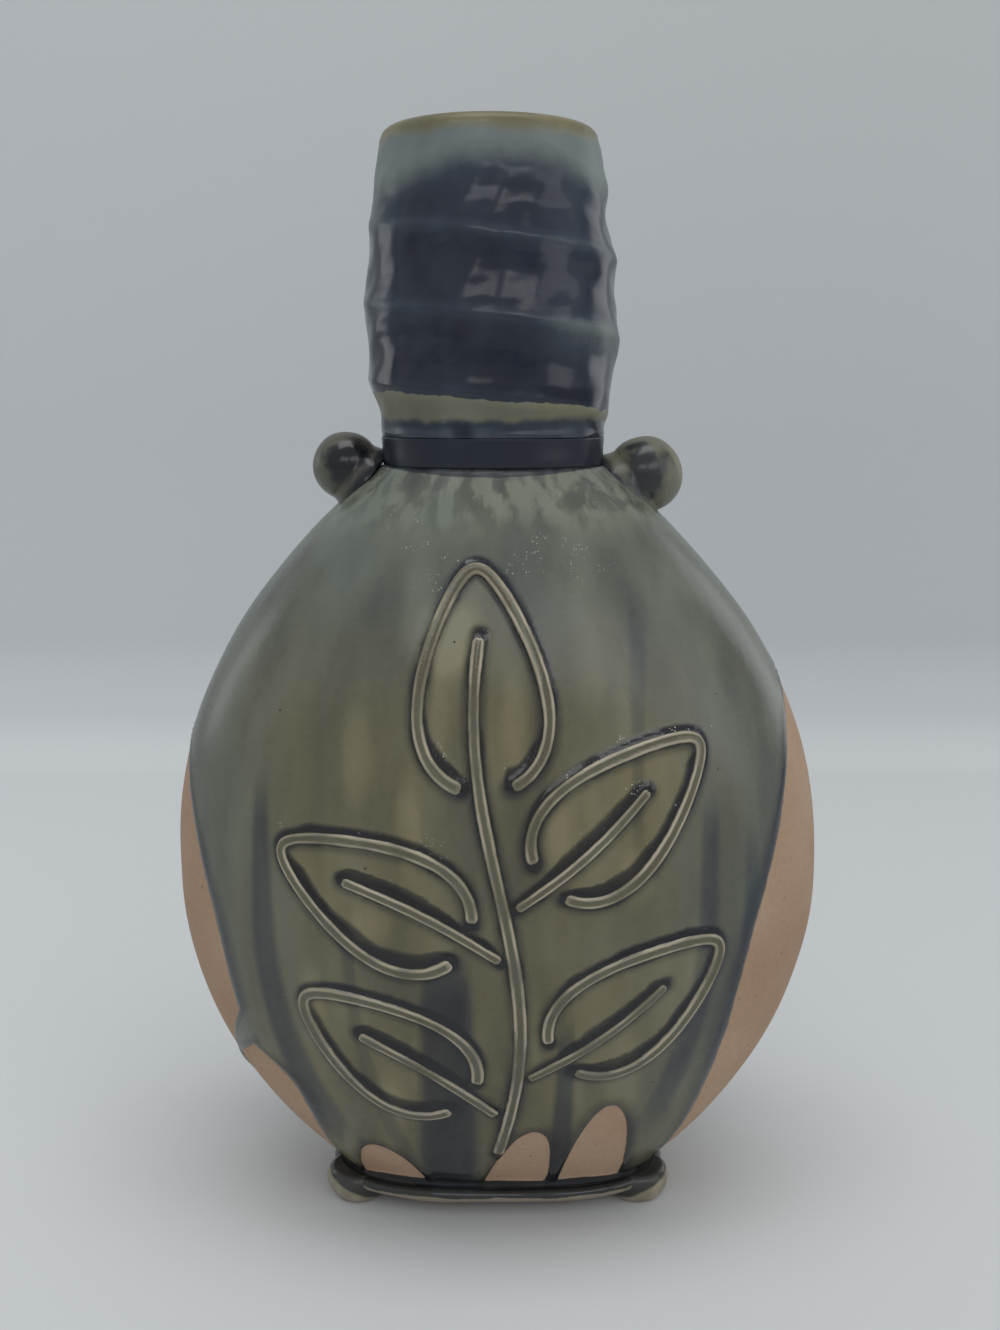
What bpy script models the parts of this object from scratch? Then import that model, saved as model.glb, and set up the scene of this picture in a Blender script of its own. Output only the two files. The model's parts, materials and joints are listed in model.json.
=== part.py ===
"""Studio pottery vase: a flattened flask body with a thrown neck, two pellet lugs and trailed slip.

Lengths are in metres. The vase stands on z = 0, its front faces -Y and its width runs along X.
The body goes from a squared foot through a broad superellipse at the belly to a round shoulder.
"""
import math

import bmesh
import bpy
import numpy as np
from mathutils import Matrix, Vector

# Body: a hollow shell with a floor, open at the top
BODY_HEIGHT = 0.1901
BELLY_HEIGHT = 0.0841
BODY_WIDTH = 0.1706
BODY_DEPTH = 0.1090
SHOULDER_TOP_RADIUS = 0.0288
WALL = 0.0052
FLOOR = 0.0065
FOOT_FLARE = 0.0022
FOOT_FLARE_HEIGHT = 0.0032
RISE_POWER = 2.0
FALL_POWER = 2.3
FOOT_OVAL_POWER = 2.8
BELLY_OVAL_POWER = 2.3
ROUND_POWER = 2.0

# Foot: a thin slab with a rounded edge, and a flattened ball of clay under each corner
SLAB_WIDTH = 0.0920
SLAB_DEPTH = 0.0560
SLAB_THICKNESS = 0.0036
SLAB_LEDGE = 0.0035
PAD_HEIGHT = 0.0042
PAD_RADIUS = 0.0093
PAD_OVERHANG = 0.0015
PAD_SETBACK = 0.0054
PAD_EDGE = math.radians(65)

# Collar: the luted band between shoulder and neck
COLLAR_HEIGHT = 0.0067
COLLAR_RADIUS = 0.0286
COLLAR_COVE = 0.0003

# Neck: thrown, with a spiral of finger grooves and a thick rounded lip
NECK_HEIGHT = 0.0752
NECK_BASE_RADIUS = 0.0300
NECK_RADIUS = 0.0327
NECK_SWELL_SHARE = 0.40
NECK_FALL_POWER = 1.7
RIM_RADIUS = 0.0272
LIP_RADIUS = 0.0028
GROOVE_PITCH = 0.0190
GROOVE_DEPTH = 0.0013
GROOVE_START_ANGLE = math.radians(261)

# Where the grooves fade in over the neck's foot and out under its rim, in shares of its height
GROOVE_FADE_IN_SHARE = 0.10
GROOVE_FADE_OUT_SHARES = (0.70, 0.86)

# Lean: the rim stands a little to the left of the belly
RIM_LEAN = 0.0021

# Lugs: rolled balls pressed on the shoulder, the right one larger and lower
LEFT_LUG_RADIUS = 0.0088
RIGHT_LUG_RADIUS = 0.0099
LEFT_LUG_DROP = 0.0019
RIGHT_LUG_DROP = 0.0034
LUG_TILT = math.radians(37)
LUG_SKIRT_SHARE = 1.14

# The ball's middle over its base plane, and where the ball starts and ends, from its equator
LUG_RISE_SHARE = 0.50
LUG_BALL_START = math.radians(-14)
LUG_BALL_END = math.radians(84)

# The skirt's rings from the middle out: reach as a share of the skirt, lift as a share of the ball
LUG_BASE_SHARES = ((0.08, 0.0), (0.55, 0.0), (0.96, 0.0), (1.0, 0.05), (0.90, 0.15))

# Trailed slip: raised lines that follow the front face
TRAIL_WIDTH = 0.0034
RIB_WIDTH = 0.0028
TRAIL_HEIGHT = 0.0011
TRAIL_STEP = 0.0034

# A trail's cross section, in shares of its half width and of its height
TRAIL_SECTION_SHARES = ((-1.0, 0.0), (-0.86, 0.62), (-0.48, 1.0), (0.48, 1.0), (0.86, 0.62), (1.0, 0.0))
TRAIL_TIP_SHARE = 0.3
TRAIL_TIP_FULL_SHARE = 0.3

# Stem of the sprig: its ends in shares of the body's height, its sway in a share of the half width
STEM_FOOT_SHARE = 0.08
STEM_HEAD_SHARE = 0.80
STEM_SWAY_SHARE = 0.065
STEM_TURN = math.radians(310)

# Leaves: where the stalk leaves the stem, as a share of the stem, then length and width, as shares
# of the body's height, and the angle from the stem ahead, with the left side negative
LEAF_SHARES = {
    "top": (0.640, 0.340, 0.150, 0.0),
    "upper_left": (0.430, 0.325, 0.140, -53.0),
    "upper_right": (0.520, 0.320, 0.140, 57.0),
    "lower_left": (0.095, 0.320, 0.140, -55.0),
    "lower_right": (0.185, 0.320, 0.135, 57.0),
}
LEAF_AHEAD_SHARE = 0.36
LEAF_TAPER_SHARE = 0.42
LEAF_MOUTH_ANGLE = math.radians(17)
STALK_SHARE = 0.21
RIB_REACH_SHARE = 0.74
RIB_BOW_SHARE = 0.06

# Seam left between pieces that touch
SEAM = 0.0003

# Faces
BODY_SIDES = 56
BODY_RINGS = 22
INNER_RINGS = 13
NECK_SIDES = 40
NECK_RINGS = 29
NECK_INNER_RINGS = 5
LIP_STEPS = 6
LUG_SIDES = 20
LUG_RINGS = 8
SLAB_SIDES = 44
PAD_SIDES = 24
SMOOTH_ANGLE = math.radians(50)

# Heights at which the pieces are stacked, from the ground up
SLAB_Z = PAD_HEIGHT + SEAM
BODY_Z = SLAB_Z + SLAB_THICKNESS + SEAM
COLLAR_Z = BODY_Z + BODY_HEIGHT + SEAM
NECK_Z = COLLAR_Z + COLLAR_HEIGHT + SEAM
TOP_Z = NECK_Z + NECK_HEIGHT
BELLY_Z = BODY_Z + BELLY_HEIGHT
BORE_RADIUS = COLLAR_RADIUS - WALL

# Colours of the fired surfaces: linear red, green, blue, then roughness
GLAZE_OLIVE = (0.105, 0.112, 0.090, 0.26)
GLAZE_NAVY = (0.048, 0.060, 0.072, 0.24)
GLAZE_POOL = (0.026, 0.031, 0.036, 0.18)
GLAZE_DARK = (0.045, 0.041, 0.045, 0.24)
GLAZE_KHAKI = (0.120, 0.112, 0.096, 0.30)
SLIP_EDGE = (0.200, 0.180, 0.140, 0.28)


def clear_scene():
    """Removes every object that is in the scene."""
    for item in list(bpy.data.objects):
        bpy.data.objects.remove(item, do_unlink=True)


def finish(name, colour):
    """Makes the fired surface of one piece."""
    material = bpy.data.materials.new(name)
    material.use_nodes = True
    shader = material.node_tree.nodes["Principled BSDF"]
    shader.inputs["Base Color"].default_value = (*colour[:3], 1.0)
    shader.inputs["Roughness"].default_value = colour[3]
    shader.inputs["Metallic"].default_value = 0.0
    return material


def skin(name, rings, colour, parent, joined=False, frame=None):
    """Skins a stack of rings of points into one closed object.

    The ends are closed with flat faces, or joined to each other where the stack is a ring itself.
    With a frame, the points are in that frame, which becomes the object's place.
    """
    grid = bmesh.new()
    rows = [[grid.verts.new(point) for point in ring] for ring in rings]
    pairs = list(zip(rows, rows[1:]))
    if joined:
        pairs.append((rows[-1], rows[0]))
    for low, high in pairs:
        for i in range(len(low)):
            j = (i + 1) % len(low)
            grid.faces.new((low[i], low[j], high[j], high[i]))
    if not joined:
        grid.faces.new(rows[0][::-1])
        grid.faces.new(rows[-1])
    bmesh.ops.recalc_face_normals(grid, faces=grid.faces)
    mesh = bpy.data.meshes.new(name)
    grid.to_mesh(mesh)
    grid.free()
    mesh.shade_smooth()
    mesh.set_sharp_from_angle(angle=SMOOTH_ANGLE)
    mesh.materials.append(finish(name + "_finish", colour))
    piece = bpy.data.objects.new(name, mesh)
    piece.parent = parent
    if frame is not None:
        piece.matrix_world = frame
    bpy.context.scene.collection.objects.link(piece)
    return piece


def smooth_step(t):
    """An S curve from 0 to 1."""
    t = np.clip(t, 0.0, 1.0)
    return t * t * (3.0 - 2.0 * t)


def lean(z):
    """How far the axis has moved to the left at a height: nothing up to the belly, then evenly."""
    return -RIM_LEAN * np.clip((z - BELLY_Z) / (TOP_Z - BELLY_Z), 0.0, 1.0)


def body_section(z):
    """Half width, half depth and squareness of the body's outside at a height."""
    h = np.clip(z - BODY_Z, 0.0, BODY_HEIGHT)
    rise = 1.0 - np.clip(1.0 - h / BELLY_HEIGHT, 0.0, 1.0) ** RISE_POWER
    up = np.clip((h - BELLY_HEIGHT) / (BODY_HEIGHT - BELLY_HEIGHT), 0.0, 1.0)
    fall = up ** FALL_POWER
    flare = FOOT_FLARE * np.clip(1.0 - h / FOOT_FLARE_HEIGHT, 0.0, 1.0) ** 2
    sizes = []
    for foot, belly in ((SLAB_WIDTH, BODY_WIDTH), (SLAB_DEPTH, BODY_DEPTH)):
        low = foot / 2 - SLAB_LEDGE
        half = low + (belly / 2 - low) * rise + (SHOULDER_TOP_RADIUS - belly / 2) * fall
        sizes.append(half + flare)
    squareness = FOOT_OVAL_POWER + (BELLY_OVAL_POWER - FOOT_OVAL_POWER) * smooth_step(h / BELLY_HEIGHT)
    squareness = squareness + (ROUND_POWER - BELLY_OVAL_POWER) * smooth_step(up)
    return sizes[0], sizes[1], squareness


def oval(half_width, half_depth, squareness, angles, z, shift=0.0):
    """A ring of points on a superellipse at height z."""
    c, s = np.cos(angles), np.sin(angles)
    x = half_width * np.sign(c) * np.abs(c) ** (2 / squareness) + shift
    y = half_depth * np.sign(s) * np.abs(s) ** (2 / squareness)
    return np.stack([x, y, np.full_like(x, z)], axis=1)


def turn(sides):
    """Angles of one full turn."""
    return np.arange(sides) * math.tau / sides


def inner_wall(lowest_z):
    """Heights and sections of the inside, one wall thickness in from the outside, square to it."""
    sections = []
    step = WALL / 10
    for z in np.linspace(BODY_Z, BODY_Z + BODY_HEIGHT, INNER_RINGS + 2):
        wide, deep, squareness = body_section(z)
        above = body_section(z + step)
        below = body_section(z - step)
        slope = (above[0] - below[0] + above[1] - below[1]) / (4 * step)
        inward = WALL / math.hypot(1.0, slope)
        inside_z = z + inward * slope
        if lowest_z < inside_z < BODY_Z + BODY_HEIGHT - WALL / 2:
            sections.append((inside_z, wide - inward, deep - inward, squareness))
    return sections


def flask_body(parent):
    """The flattened shell: outside from foot to shoulder, then the inside down to the floor."""
    angles = turn(BODY_SIDES)
    share = np.linspace(0.0, 1.0, BODY_RINGS - 1)
    heights = np.concatenate([[BODY_Z], BODY_Z + FOOT_FLARE_HEIGHT / 2
                              + (BODY_HEIGHT - FOOT_FLARE_HEIGHT / 2) * share])
    rings = [oval(*body_section(z), angles, z, lean(z)) for z in heights]

    rings.append(oval(BORE_RADIUS, BORE_RADIUS, ROUND_POWER, angles, BODY_Z + BODY_HEIGHT, lean(COLLAR_Z)))
    floor_z = BODY_Z + FLOOR
    for z, wide, deep, squareness in reversed(inner_wall(floor_z + WALL / 2)):
        rings.append(oval(wide, deep, squareness, angles, z, lean(z)))
    rings.append(oval(wide - WALL, deep - WALL, squareness, angles, floor_z))
    return skin("flask_body", rings, GLAZE_OLIVE, parent)


def foot_slab(parent):
    """The slab under the body, with a rounded edge."""
    angles = turn(SLAB_SIDES)
    edge = SLAB_THICKNESS / 2
    rings = []
    for tilt in np.radians((-90, -50, -10, 30, 90)):
        inset = edge * (1 - math.cos(tilt))
        z = SLAB_Z + edge * (1 + math.sin(tilt))
        rings.append(oval(SLAB_WIDTH / 2 - inset, SLAB_DEPTH / 2 - inset, FOOT_OVAL_POWER, angles, z))
    return skin("foot_slab", rings, GLAZE_DARK, parent)


def foot_pad(name, side, end, parent):
    """A flattened ball under one corner: it stands past the slab's side, and back from its edge."""
    x = side * (SLAB_WIDTH / 2 + PAD_OVERHANG - PAD_RADIUS)
    y = end * (SLAB_DEPTH / 2 - PAD_SETBACK - PAD_RADIUS)
    angles = turn(PAD_SIDES)
    rings = []
    for tilt in np.linspace(-PAD_EDGE, PAD_EDGE, 5):
        radius = PAD_RADIUS - PAD_HEIGHT / 2 * (1 - math.cos(tilt))
        z = PAD_HEIGHT / 2 * (1 + math.sin(tilt) / math.sin(PAD_EDGE))
        rings.append(oval(radius, radius, ROUND_POWER, angles, z))
    return skin(name, rings, GLAZE_KHAKI, parent, frame=Matrix.Translation((x, y, 0.0)))


def neck_collar(parent):
    """The band that lutes the neck to the shoulder, slightly hollow on its outside."""
    angles = turn(NECK_SIDES)
    rings = []
    for share in np.linspace(0.0, 1.0, 5):
        radius = COLLAR_RADIUS - COLLAR_COVE * math.sin(math.pi * share)
        z = COLLAR_Z + COLLAR_HEIGHT * share
        rings.append(oval(radius, radius, ROUND_POWER, angles, z, lean(z)))
    for share in (1.0, 0.0):
        z = COLLAR_Z + COLLAR_HEIGHT * share
        rings.append(oval(BORE_RADIUS, BORE_RADIUS, ROUND_POWER, angles, z, lean(z)))
    return skin("neck_collar", rings, GLAZE_POOL, parent, joined=True)


def neck_radius(z):
    """The neck's outside over its crests: base, swell and drawn-in rim on one smooth curve."""
    share = np.clip((z - NECK_Z) / (NECK_HEIGHT - LIP_RADIUS), 0.0, 1.0)
    rise = np.sin(math.pi / 2 * np.minimum(share / NECK_SWELL_SHARE, 1.0))
    fall = np.clip((share - NECK_SWELL_SHARE) / (1 - NECK_SWELL_SHARE), 0.0, 1.0) ** NECK_FALL_POWER
    return NECK_BASE_RADIUS + (NECK_RADIUS - NECK_BASE_RADIUS) * rise + (RIM_RADIUS - NECK_RADIUS) * fall


def groove(angles, z):
    """Depth of the finger groove, which winds down the neck between sharp crests."""
    phase = (z - NECK_Z) / GROOVE_PITCH * math.tau + angles + GROOVE_START_ANGLE
    scallop = np.abs(np.sin(phase / 2))
    share = (z - NECK_Z) / NECK_HEIGHT
    fading, faded = GROOVE_FADE_OUT_SHARES
    strength = smooth_step(share / GROOVE_FADE_IN_SHARE) * smooth_step((faded - share) / (faded - fading))
    return GROOVE_DEPTH * strength * scallop


def neck(parent):
    """The thrown neck: grooved outside, round lip, plain inside."""
    angles = turn(NECK_SIDES)
    lip_z = TOP_Z - LIP_RADIUS
    rings = []
    for z in np.linspace(NECK_Z, lip_z, NECK_RINGS):
        radius = neck_radius(z) - groove(angles, z)
        rings.append(oval(radius, radius, ROUND_POWER, angles, z, lean(z)))
    for tilt in np.linspace(0.0, math.pi, LIP_STEPS + 1)[1:]:
        radius = RIM_RADIUS - LIP_RADIUS * (1 - math.cos(tilt))
        z = lip_z + LIP_RADIUS * math.sin(tilt)
        rings.append(oval(radius, radius, ROUND_POWER, angles, z, lean(z)))
    for z in np.linspace(lip_z, NECK_Z, NECK_INNER_RINGS + 1)[1:]:
        radius = neck_radius(z) - WALL - GROOVE_DEPTH / 2
        rings.append(oval(radius, radius, ROUND_POWER, angles, z, lean(z)))
    return skin("neck", rings, GLAZE_NAVY, parent, joined=True)


def is_clear(point, clearance):
    """Whether a point lies outside the shoulder, the collar and the neck by a clearance."""
    x, y, z = point
    x = abs(x - lean(z))
    wide, deep, squareness = body_section(z)
    if z > BODY_Z + BODY_HEIGHT:
        wide = deep = COLLAR_RADIUS if z < NECK_Z - SEAM else float(neck_radius(z))
        squareness = ROUND_POWER
    wide = wide + clearance
    deep = deep + clearance
    return (x / wide) ** squareness + (abs(y) / deep) ** squareness > 1.0


def seat_height(frame, x, y, reach):
    """Height over a lug's base plane at which a line coming down its axis meets what it sits on."""
    step = reach / 4
    high = reach
    while high > -reach and is_clear(frame @ Vector((x, y, high - step)), SEAM):
        high -= step
    while step > SEAM / 100:
        step /= 2
        if is_clear(frame @ Vector((x, y, high - step)), SEAM):
            high -= step
    return high


def pellet_lug(name, side, radius, drop, parent):
    """A ball pressed in the corner of shoulder and neck, its skirt spread to fit both.

    The base plane tilts from a point on the collar, a drop below its top, down to the shoulder.
    """
    skirt = radius * LUG_SKIRT_SHARE
    outward = Vector((side * math.cos(LUG_TILT), 0.0, math.sin(LUG_TILT)))
    downward = Vector((side * math.sin(LUG_TILT), 0.0, -math.cos(LUG_TILT)))
    touch = Vector((side * COLLAR_RADIUS + float(lean(COLLAR_Z)), 0.0, COLLAR_Z + COLLAR_HEIGHT - drop))
    seat = touch + downward * skirt
    frame = Matrix.Translation(seat) @ outward.to_track_quat("Z", "Y").to_matrix().to_4x4()

    angles = turn(LUG_SIDES)
    rings = []
    for reach_share, lift_share in LUG_BASE_SHARES:
        ring = oval(skirt * reach_share, skirt * reach_share, ROUND_POWER, angles, 0.0)
        for point in ring:
            point[2] = seat_height(frame, point[0], point[1], radius) + radius * lift_share
        rings.append(ring)
    for tilt in np.linspace(LUG_BALL_START, LUG_BALL_END, LUG_RINGS):
        reach = radius * math.cos(tilt)
        rings.append(oval(reach, reach, ROUND_POWER, angles, radius * (LUG_RISE_SHARE + math.sin(tilt))))
    return skin(name, rings, GLAZE_OLIVE, parent, frame=frame)


def on_front(x, z, clearance):
    """Points of the front face at places x and z, and the outward directions there."""
    def face_y(x, z):
        wide, deep, squareness = body_section(z)
        across = np.clip(np.abs(x - lean(z)) / wide, 0.0, 1.0)
        return -deep * (1 - across ** squareness) ** (1 / squareness)

    y = face_y(x, z)
    step = TRAIL_WIDTH / 4
    slope_x = (face_y(x + step, z) - face_y(x - step, z)) / (2 * step)
    slope_z = (face_y(x, z + step) - face_y(x, z - step)) / (2 * step)
    outward = np.stack([slope_x, -np.ones_like(y), slope_z], axis=1)
    outward /= np.linalg.norm(outward, axis=1)[:, None]
    return np.stack([x, y, z], axis=1) + outward * clearance, outward


def trail(name, path, width, parent):
    """A raised line of slip along a path of x and z, with a flat crown and rounded ends."""
    length = np.concatenate([[0.0], np.cumsum(np.linalg.norm(np.diff(path, axis=0), axis=1))])
    half = width / 2
    total = length[-1]
    count = max(3, round((total - width) / TRAIL_STEP))
    tip = half * TRAIL_TIP_SHARE
    places = np.concatenate([[0.0, tip], np.linspace(half, total - half, count), [total - tip, total]])
    ends = np.minimum(np.minimum(places, total - places) / half, 1.0)
    fullness = np.maximum(np.sqrt(1 - (1 - ends) ** 2), TRAIL_TIP_FULL_SHARE)
    x = np.interp(places, length, path[:, 0])
    z = np.interp(places, length, path[:, 1])
    points, outward = on_front(x, z, SEAM)
    along = np.gradient(points, axis=0)
    across = np.cross(along, outward)
    across /= np.linalg.norm(across, axis=1)[:, None]
    rings = []
    for point, out, aside, full in zip(points, outward, across, fullness):
        rings.append([point + aside * (s * half * full) + out * (h * TRAIL_HEIGHT * full)
                      for s, h in TRAIL_SECTION_SHARES])
    return skin(name, rings, SLIP_EDGE, parent)


def on_stem(share):
    """A place on the stem, across and up, at a share of the stem's height."""
    x = STEM_SWAY_SHARE * BODY_WIDTH / 2 * np.sin(STEM_TURN * share)
    z = BODY_Z + BODY_HEIGHT * (STEM_FOOT_SHARE + (STEM_HEAD_SHARE - STEM_FOOT_SHARE) * share)
    return np.stack([x, z], axis=-1)


def leaf_frame(fork_share, degrees):
    """Where a leaf's stalk leaves the stem, and the directions along the leaf and to its side."""
    fork = on_stem(fork_share)
    ahead = on_stem(min(fork_share + LEAF_AHEAD_SHARE, 1.0)) - fork
    angle = math.atan2(ahead[0], ahead[1]) + math.radians(degrees)
    along = np.array([math.sin(angle), math.cos(angle)])
    aside = np.array([math.cos(angle), -math.sin(angle)])
    return fork, along, aside


def leaf_outline(fork_share, length_share, width_share, degrees):
    """The outline of a leaf: an ellipse drawn in towards its tip, and open at its mouth."""
    fork, along, aside = leaf_frame(fork_share, degrees)
    length = length_share * BODY_HEIGHT
    stalk = STALK_SHARE * length
    around = np.linspace(LEAF_MOUTH_ANGLE, math.tau - LEAF_MOUTH_ANGLE, 120)
    far = stalk + (length - stalk) * (1 - np.cos(around)) / 2
    half = width_share * BODY_HEIGHT / 2 * np.sin(around) * (1 + LEAF_TAPER_SHARE * np.cos(around))
    return fork + far[:, None] * along + half[:, None] * aside


def leaf_rib(fork_share, length_share, width_share, degrees):
    """The rib of a side leaf with its stalk: it starts just clear of the stem, and bows a little."""
    fork, along, aside = leaf_frame(fork_share, degrees)
    start = (TRAIL_WIDTH / 2 + 2 * SEAM) / abs(math.sin(math.radians(degrees))) + RIB_WIDTH / 4
    share = np.linspace(0.0, 1.0, 40)
    far = start + (RIB_REACH_SHARE * length_share * BODY_HEIGHT - start) * share
    bow = RIB_BOW_SHARE * width_share * BODY_HEIGHT * np.sin(math.pi * share)
    return fork + far[:, None] * along + bow[:, None] * aside


def build():
    """Makes every piece of the vase."""
    clear_scene()
    axis = bpy.data.objects.new("vase_axis", None)
    bpy.context.scene.collection.objects.link(axis)

    flask_body(axis)
    neck_collar(axis)
    neck(axis)
    pellet_lug("lug_left", -1.0, LEFT_LUG_RADIUS, LEFT_LUG_DROP, axis)
    pellet_lug("lug_right", 1.0, RIGHT_LUG_RADIUS, RIGHT_LUG_DROP, axis)
    foot_slab(axis)
    for end_name, end in (("front", -1.0), ("back", 1.0)):
        for side_name, side in (("left", -1.0), ("right", 1.0)):
            foot_pad(f"pad_{end_name}_{side_name}", side, end, axis)

    trail("trail_stem", on_stem(np.linspace(0.0, 1.0, 60)), TRAIL_WIDTH, axis)
    for place, shares in LEAF_SHARES.items():
        trail(f"trail_leaf_{place}", leaf_outline(*shares), TRAIL_WIDTH, axis)
        if place != "top":
            trail(f"trail_rib_{place}", leaf_rib(*shares), RIB_WIDTH, axis)


build()
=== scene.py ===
# %% [markdown]
# # A studio pottery vase
# This file dresses a flask-shaped vase. The packed model gives its sizes and stays hidden under the
# pieces made here: each one is a surface worked out with numpy, and its glaze is painted by numbers
# kept on its points. The front faces -Y, up is +Z, and lengths are in metres, or in millimetres
# where a name or a comment says so.

# %% Load the packed model
import json
import math

import bpy
import numpy as np
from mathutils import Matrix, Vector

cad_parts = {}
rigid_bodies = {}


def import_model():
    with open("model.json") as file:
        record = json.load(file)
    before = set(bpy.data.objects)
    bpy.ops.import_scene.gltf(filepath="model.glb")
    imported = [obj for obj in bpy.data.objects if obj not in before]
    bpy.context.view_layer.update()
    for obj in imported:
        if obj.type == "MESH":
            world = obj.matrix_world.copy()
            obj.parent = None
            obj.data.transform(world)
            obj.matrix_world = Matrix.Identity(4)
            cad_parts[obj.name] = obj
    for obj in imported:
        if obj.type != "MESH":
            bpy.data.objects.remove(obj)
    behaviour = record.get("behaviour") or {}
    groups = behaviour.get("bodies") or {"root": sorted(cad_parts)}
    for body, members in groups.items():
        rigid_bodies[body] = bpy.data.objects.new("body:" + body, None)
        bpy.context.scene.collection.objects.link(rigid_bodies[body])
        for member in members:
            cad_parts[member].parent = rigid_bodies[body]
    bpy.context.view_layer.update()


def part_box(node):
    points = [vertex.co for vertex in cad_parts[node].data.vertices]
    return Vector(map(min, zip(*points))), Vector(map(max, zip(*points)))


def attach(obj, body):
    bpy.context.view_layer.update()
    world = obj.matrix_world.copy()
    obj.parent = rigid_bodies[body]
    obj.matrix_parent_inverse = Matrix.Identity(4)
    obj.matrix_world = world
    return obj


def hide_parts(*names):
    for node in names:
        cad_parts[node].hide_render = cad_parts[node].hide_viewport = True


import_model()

MM = 0.001

# %% [markdown]
# ## Camera
# The photograph looks a little down on the vase from close by, so the neck is nearly level with the
# lens and the foot shows its front edge. The lens was worked out from the ellipses of rim and foot.
# A camera could be aimed by a constraint; a plain turn about X is enough here.

# %% Camera
CAMERA_PLACE = (0.0006, -0.368, 0.2138)
CAMERA_DIP = math.radians(10.52)
CAMERA_LENS = 37.9

scene = bpy.context.scene
camera = bpy.data.objects.new("camera", bpy.data.cameras.new("camera"))
camera.data.lens = CAMERA_LENS
camera.data.clip_start = 0.01
camera.location = CAMERA_PLACE
camera.rotation_euler = (math.pi / 2 - CAMERA_DIP, 0.0, 0.0)
scene.collection.objects.link(camera)
scene.camera = camera
print("camera", CAMERA_PLACE, "dips", round(math.degrees(CAMERA_DIP), 2), "degrees")

# %% [markdown]
# ## From a grid to a piece
# Every piece is a grid of points: rows go up or along, columns go round. The grid is closed round its
# columns, and its two ends meet in a point or join each other, so that each piece is a closed skin.
# Values for the painting go along with the points as attributes. Modelling tools could make the same
# skins by hand; with a grid, a form is one formula over whole arrays.


# %% Grid to mesh
def grid_faces(rows, columns, ring):
    """Quads between neighbours on a grid whose columns wrap round, and its rows too for a ring."""
    r = np.arange(rows if ring else rows - 1)[:, None]
    c = np.arange(columns)[None, :]
    above, beside = (r + 1) % rows, (c + 1) % columns
    corners = (r * columns + c, r * columns + beside, above * columns + beside, above * columns + c)
    return np.stack(corners, axis=-1).reshape(-1, 4)


def grid_mesh(name, grid, ring):
    """A closed mesh. Without ring, each end of the grid closes in a fan to the middle of its last row."""
    rows, columns = grid.shape[:2]
    points = grid.reshape(-1, 3)
    quads = grid_faces(rows, columns, ring)
    corners, sizes = quads.ravel(), np.full(len(quads), 4)
    if not ring:
        points = np.vstack([points, grid[0].mean(axis=0), grid[-1].mean(axis=0)])
        c = np.arange(columns)
        beside = (c + 1) % columns
        last = (rows - 1) * columns
        low_fan = np.stack([np.full(columns, rows * columns), beside, c], axis=1)
        high_fan = np.stack([np.full(columns, rows * columns + 1), last + c, last + beside], axis=1)
        corners = np.concatenate([corners, low_fan.ravel(), high_fan.ravel()])
        sizes = np.concatenate([sizes, np.full(2 * columns, 3)])
    mesh = bpy.data.meshes.new(name)
    mesh.vertices.add(len(points))
    mesh.vertices.foreach_set("co", points.astype(np.float32).ravel())
    mesh.loops.add(len(corners))
    mesh.loops.foreach_set("vertex_index", corners.astype(np.int32))
    mesh.polygons.add(len(sizes))
    mesh.polygons.foreach_set("loop_start", (np.cumsum(sizes) - sizes).astype(np.int32))
    mesh.update(calc_edges=True)
    mesh.validate()
    mesh.shade_smooth()
    print(f"{name}: {len(points)} points, {int((sizes - 2).sum())} triangles")
    return mesh


def add_surface(name, grid, material, stands_for, ring=False, values=None):
    """Makes a piece from a (rows, columns, 3) grid and lets it ride on the vase.

    values are (rows, columns) arrays that become point attributes; the fans take their row's mean.
    """
    mesh = grid_mesh(name, grid, ring)
    for key, value in (values or {}).items():
        flat = np.broadcast_to(value, grid.shape[:2]).astype(np.float32)
        if not ring:
            flat = np.concatenate([flat.ravel(), [flat[0].mean()], [flat[-1].mean()]])
        mesh.attributes.new(key, "FLOAT", "POINT").data.foreach_set("value", flat.ravel())
    mesh.materials.append(material)
    piece = bpy.data.objects.new(name, mesh)
    scene.collection.objects.link(piece)
    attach(piece, "root")
    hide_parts(stands_for)


open_quads, ring_quads = len(grid_faces(3, 4, ring=False)), len(grid_faces(3, 4, ring=True))
print("a grid of 3 by 4 points has", open_quads, "quads, and", ring_quads, "as a ring")

# %% [markdown]
# ## Shapes by formula
# A few small functions return in every piece: even angles once round, a soft step, soft hills for
# what the hand leaves uneven, and a way to lift a surface along its own normals.


# %% Shape helpers
def once_round(count, start=0.0):
    """Evenly spaced angles, once round."""
    return start + np.arange(count) / count * math.tau


def smooth_step(t):
    """An S curve from 0 to 1, 3t^2 - 2t^3."""
    t = np.clip(t, 0.0, 1.0)
    return t * t * (3.0 - 2.0 * t)


def bell(x, middle, width):
    """A hill of height 1, exp(-((x - middle) / width)^2)."""
    return np.exp(-(((x - middle) / width) ** 2))


def ripples(points, length, seed, waves=9):
    """Soft hills between about -1 and 1: a sum of plane waves in random directions, seeded."""
    chance = np.random.default_rng(seed)
    total = np.zeros(points.shape[:-1])
    for _ in range(waves):
        way = chance.normal(size=3)
        way *= math.tau / (length * chance.uniform(0.7, 1.5) * np.linalg.norm(way))
        total += np.sin(points @ way + chance.uniform(0, math.tau))
    return total / math.sqrt(waves)


def lifted(grid, relief_mm):
    """The grid moved out along its normals, which turn its step round into its step up."""
    wide = np.concatenate([grid[:, -1:], grid, grid[:, :1]], axis=1)
    around = (wide[:, 2:] - wide[:, :-2]) / 2
    normal = np.cross(around, np.gradient(grid, axis=0))
    normal /= np.maximum(np.linalg.norm(normal, axis=-1, keepdims=True), 1e-12)
    return grid + normal * (relief_mm * MM)[..., None]


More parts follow.
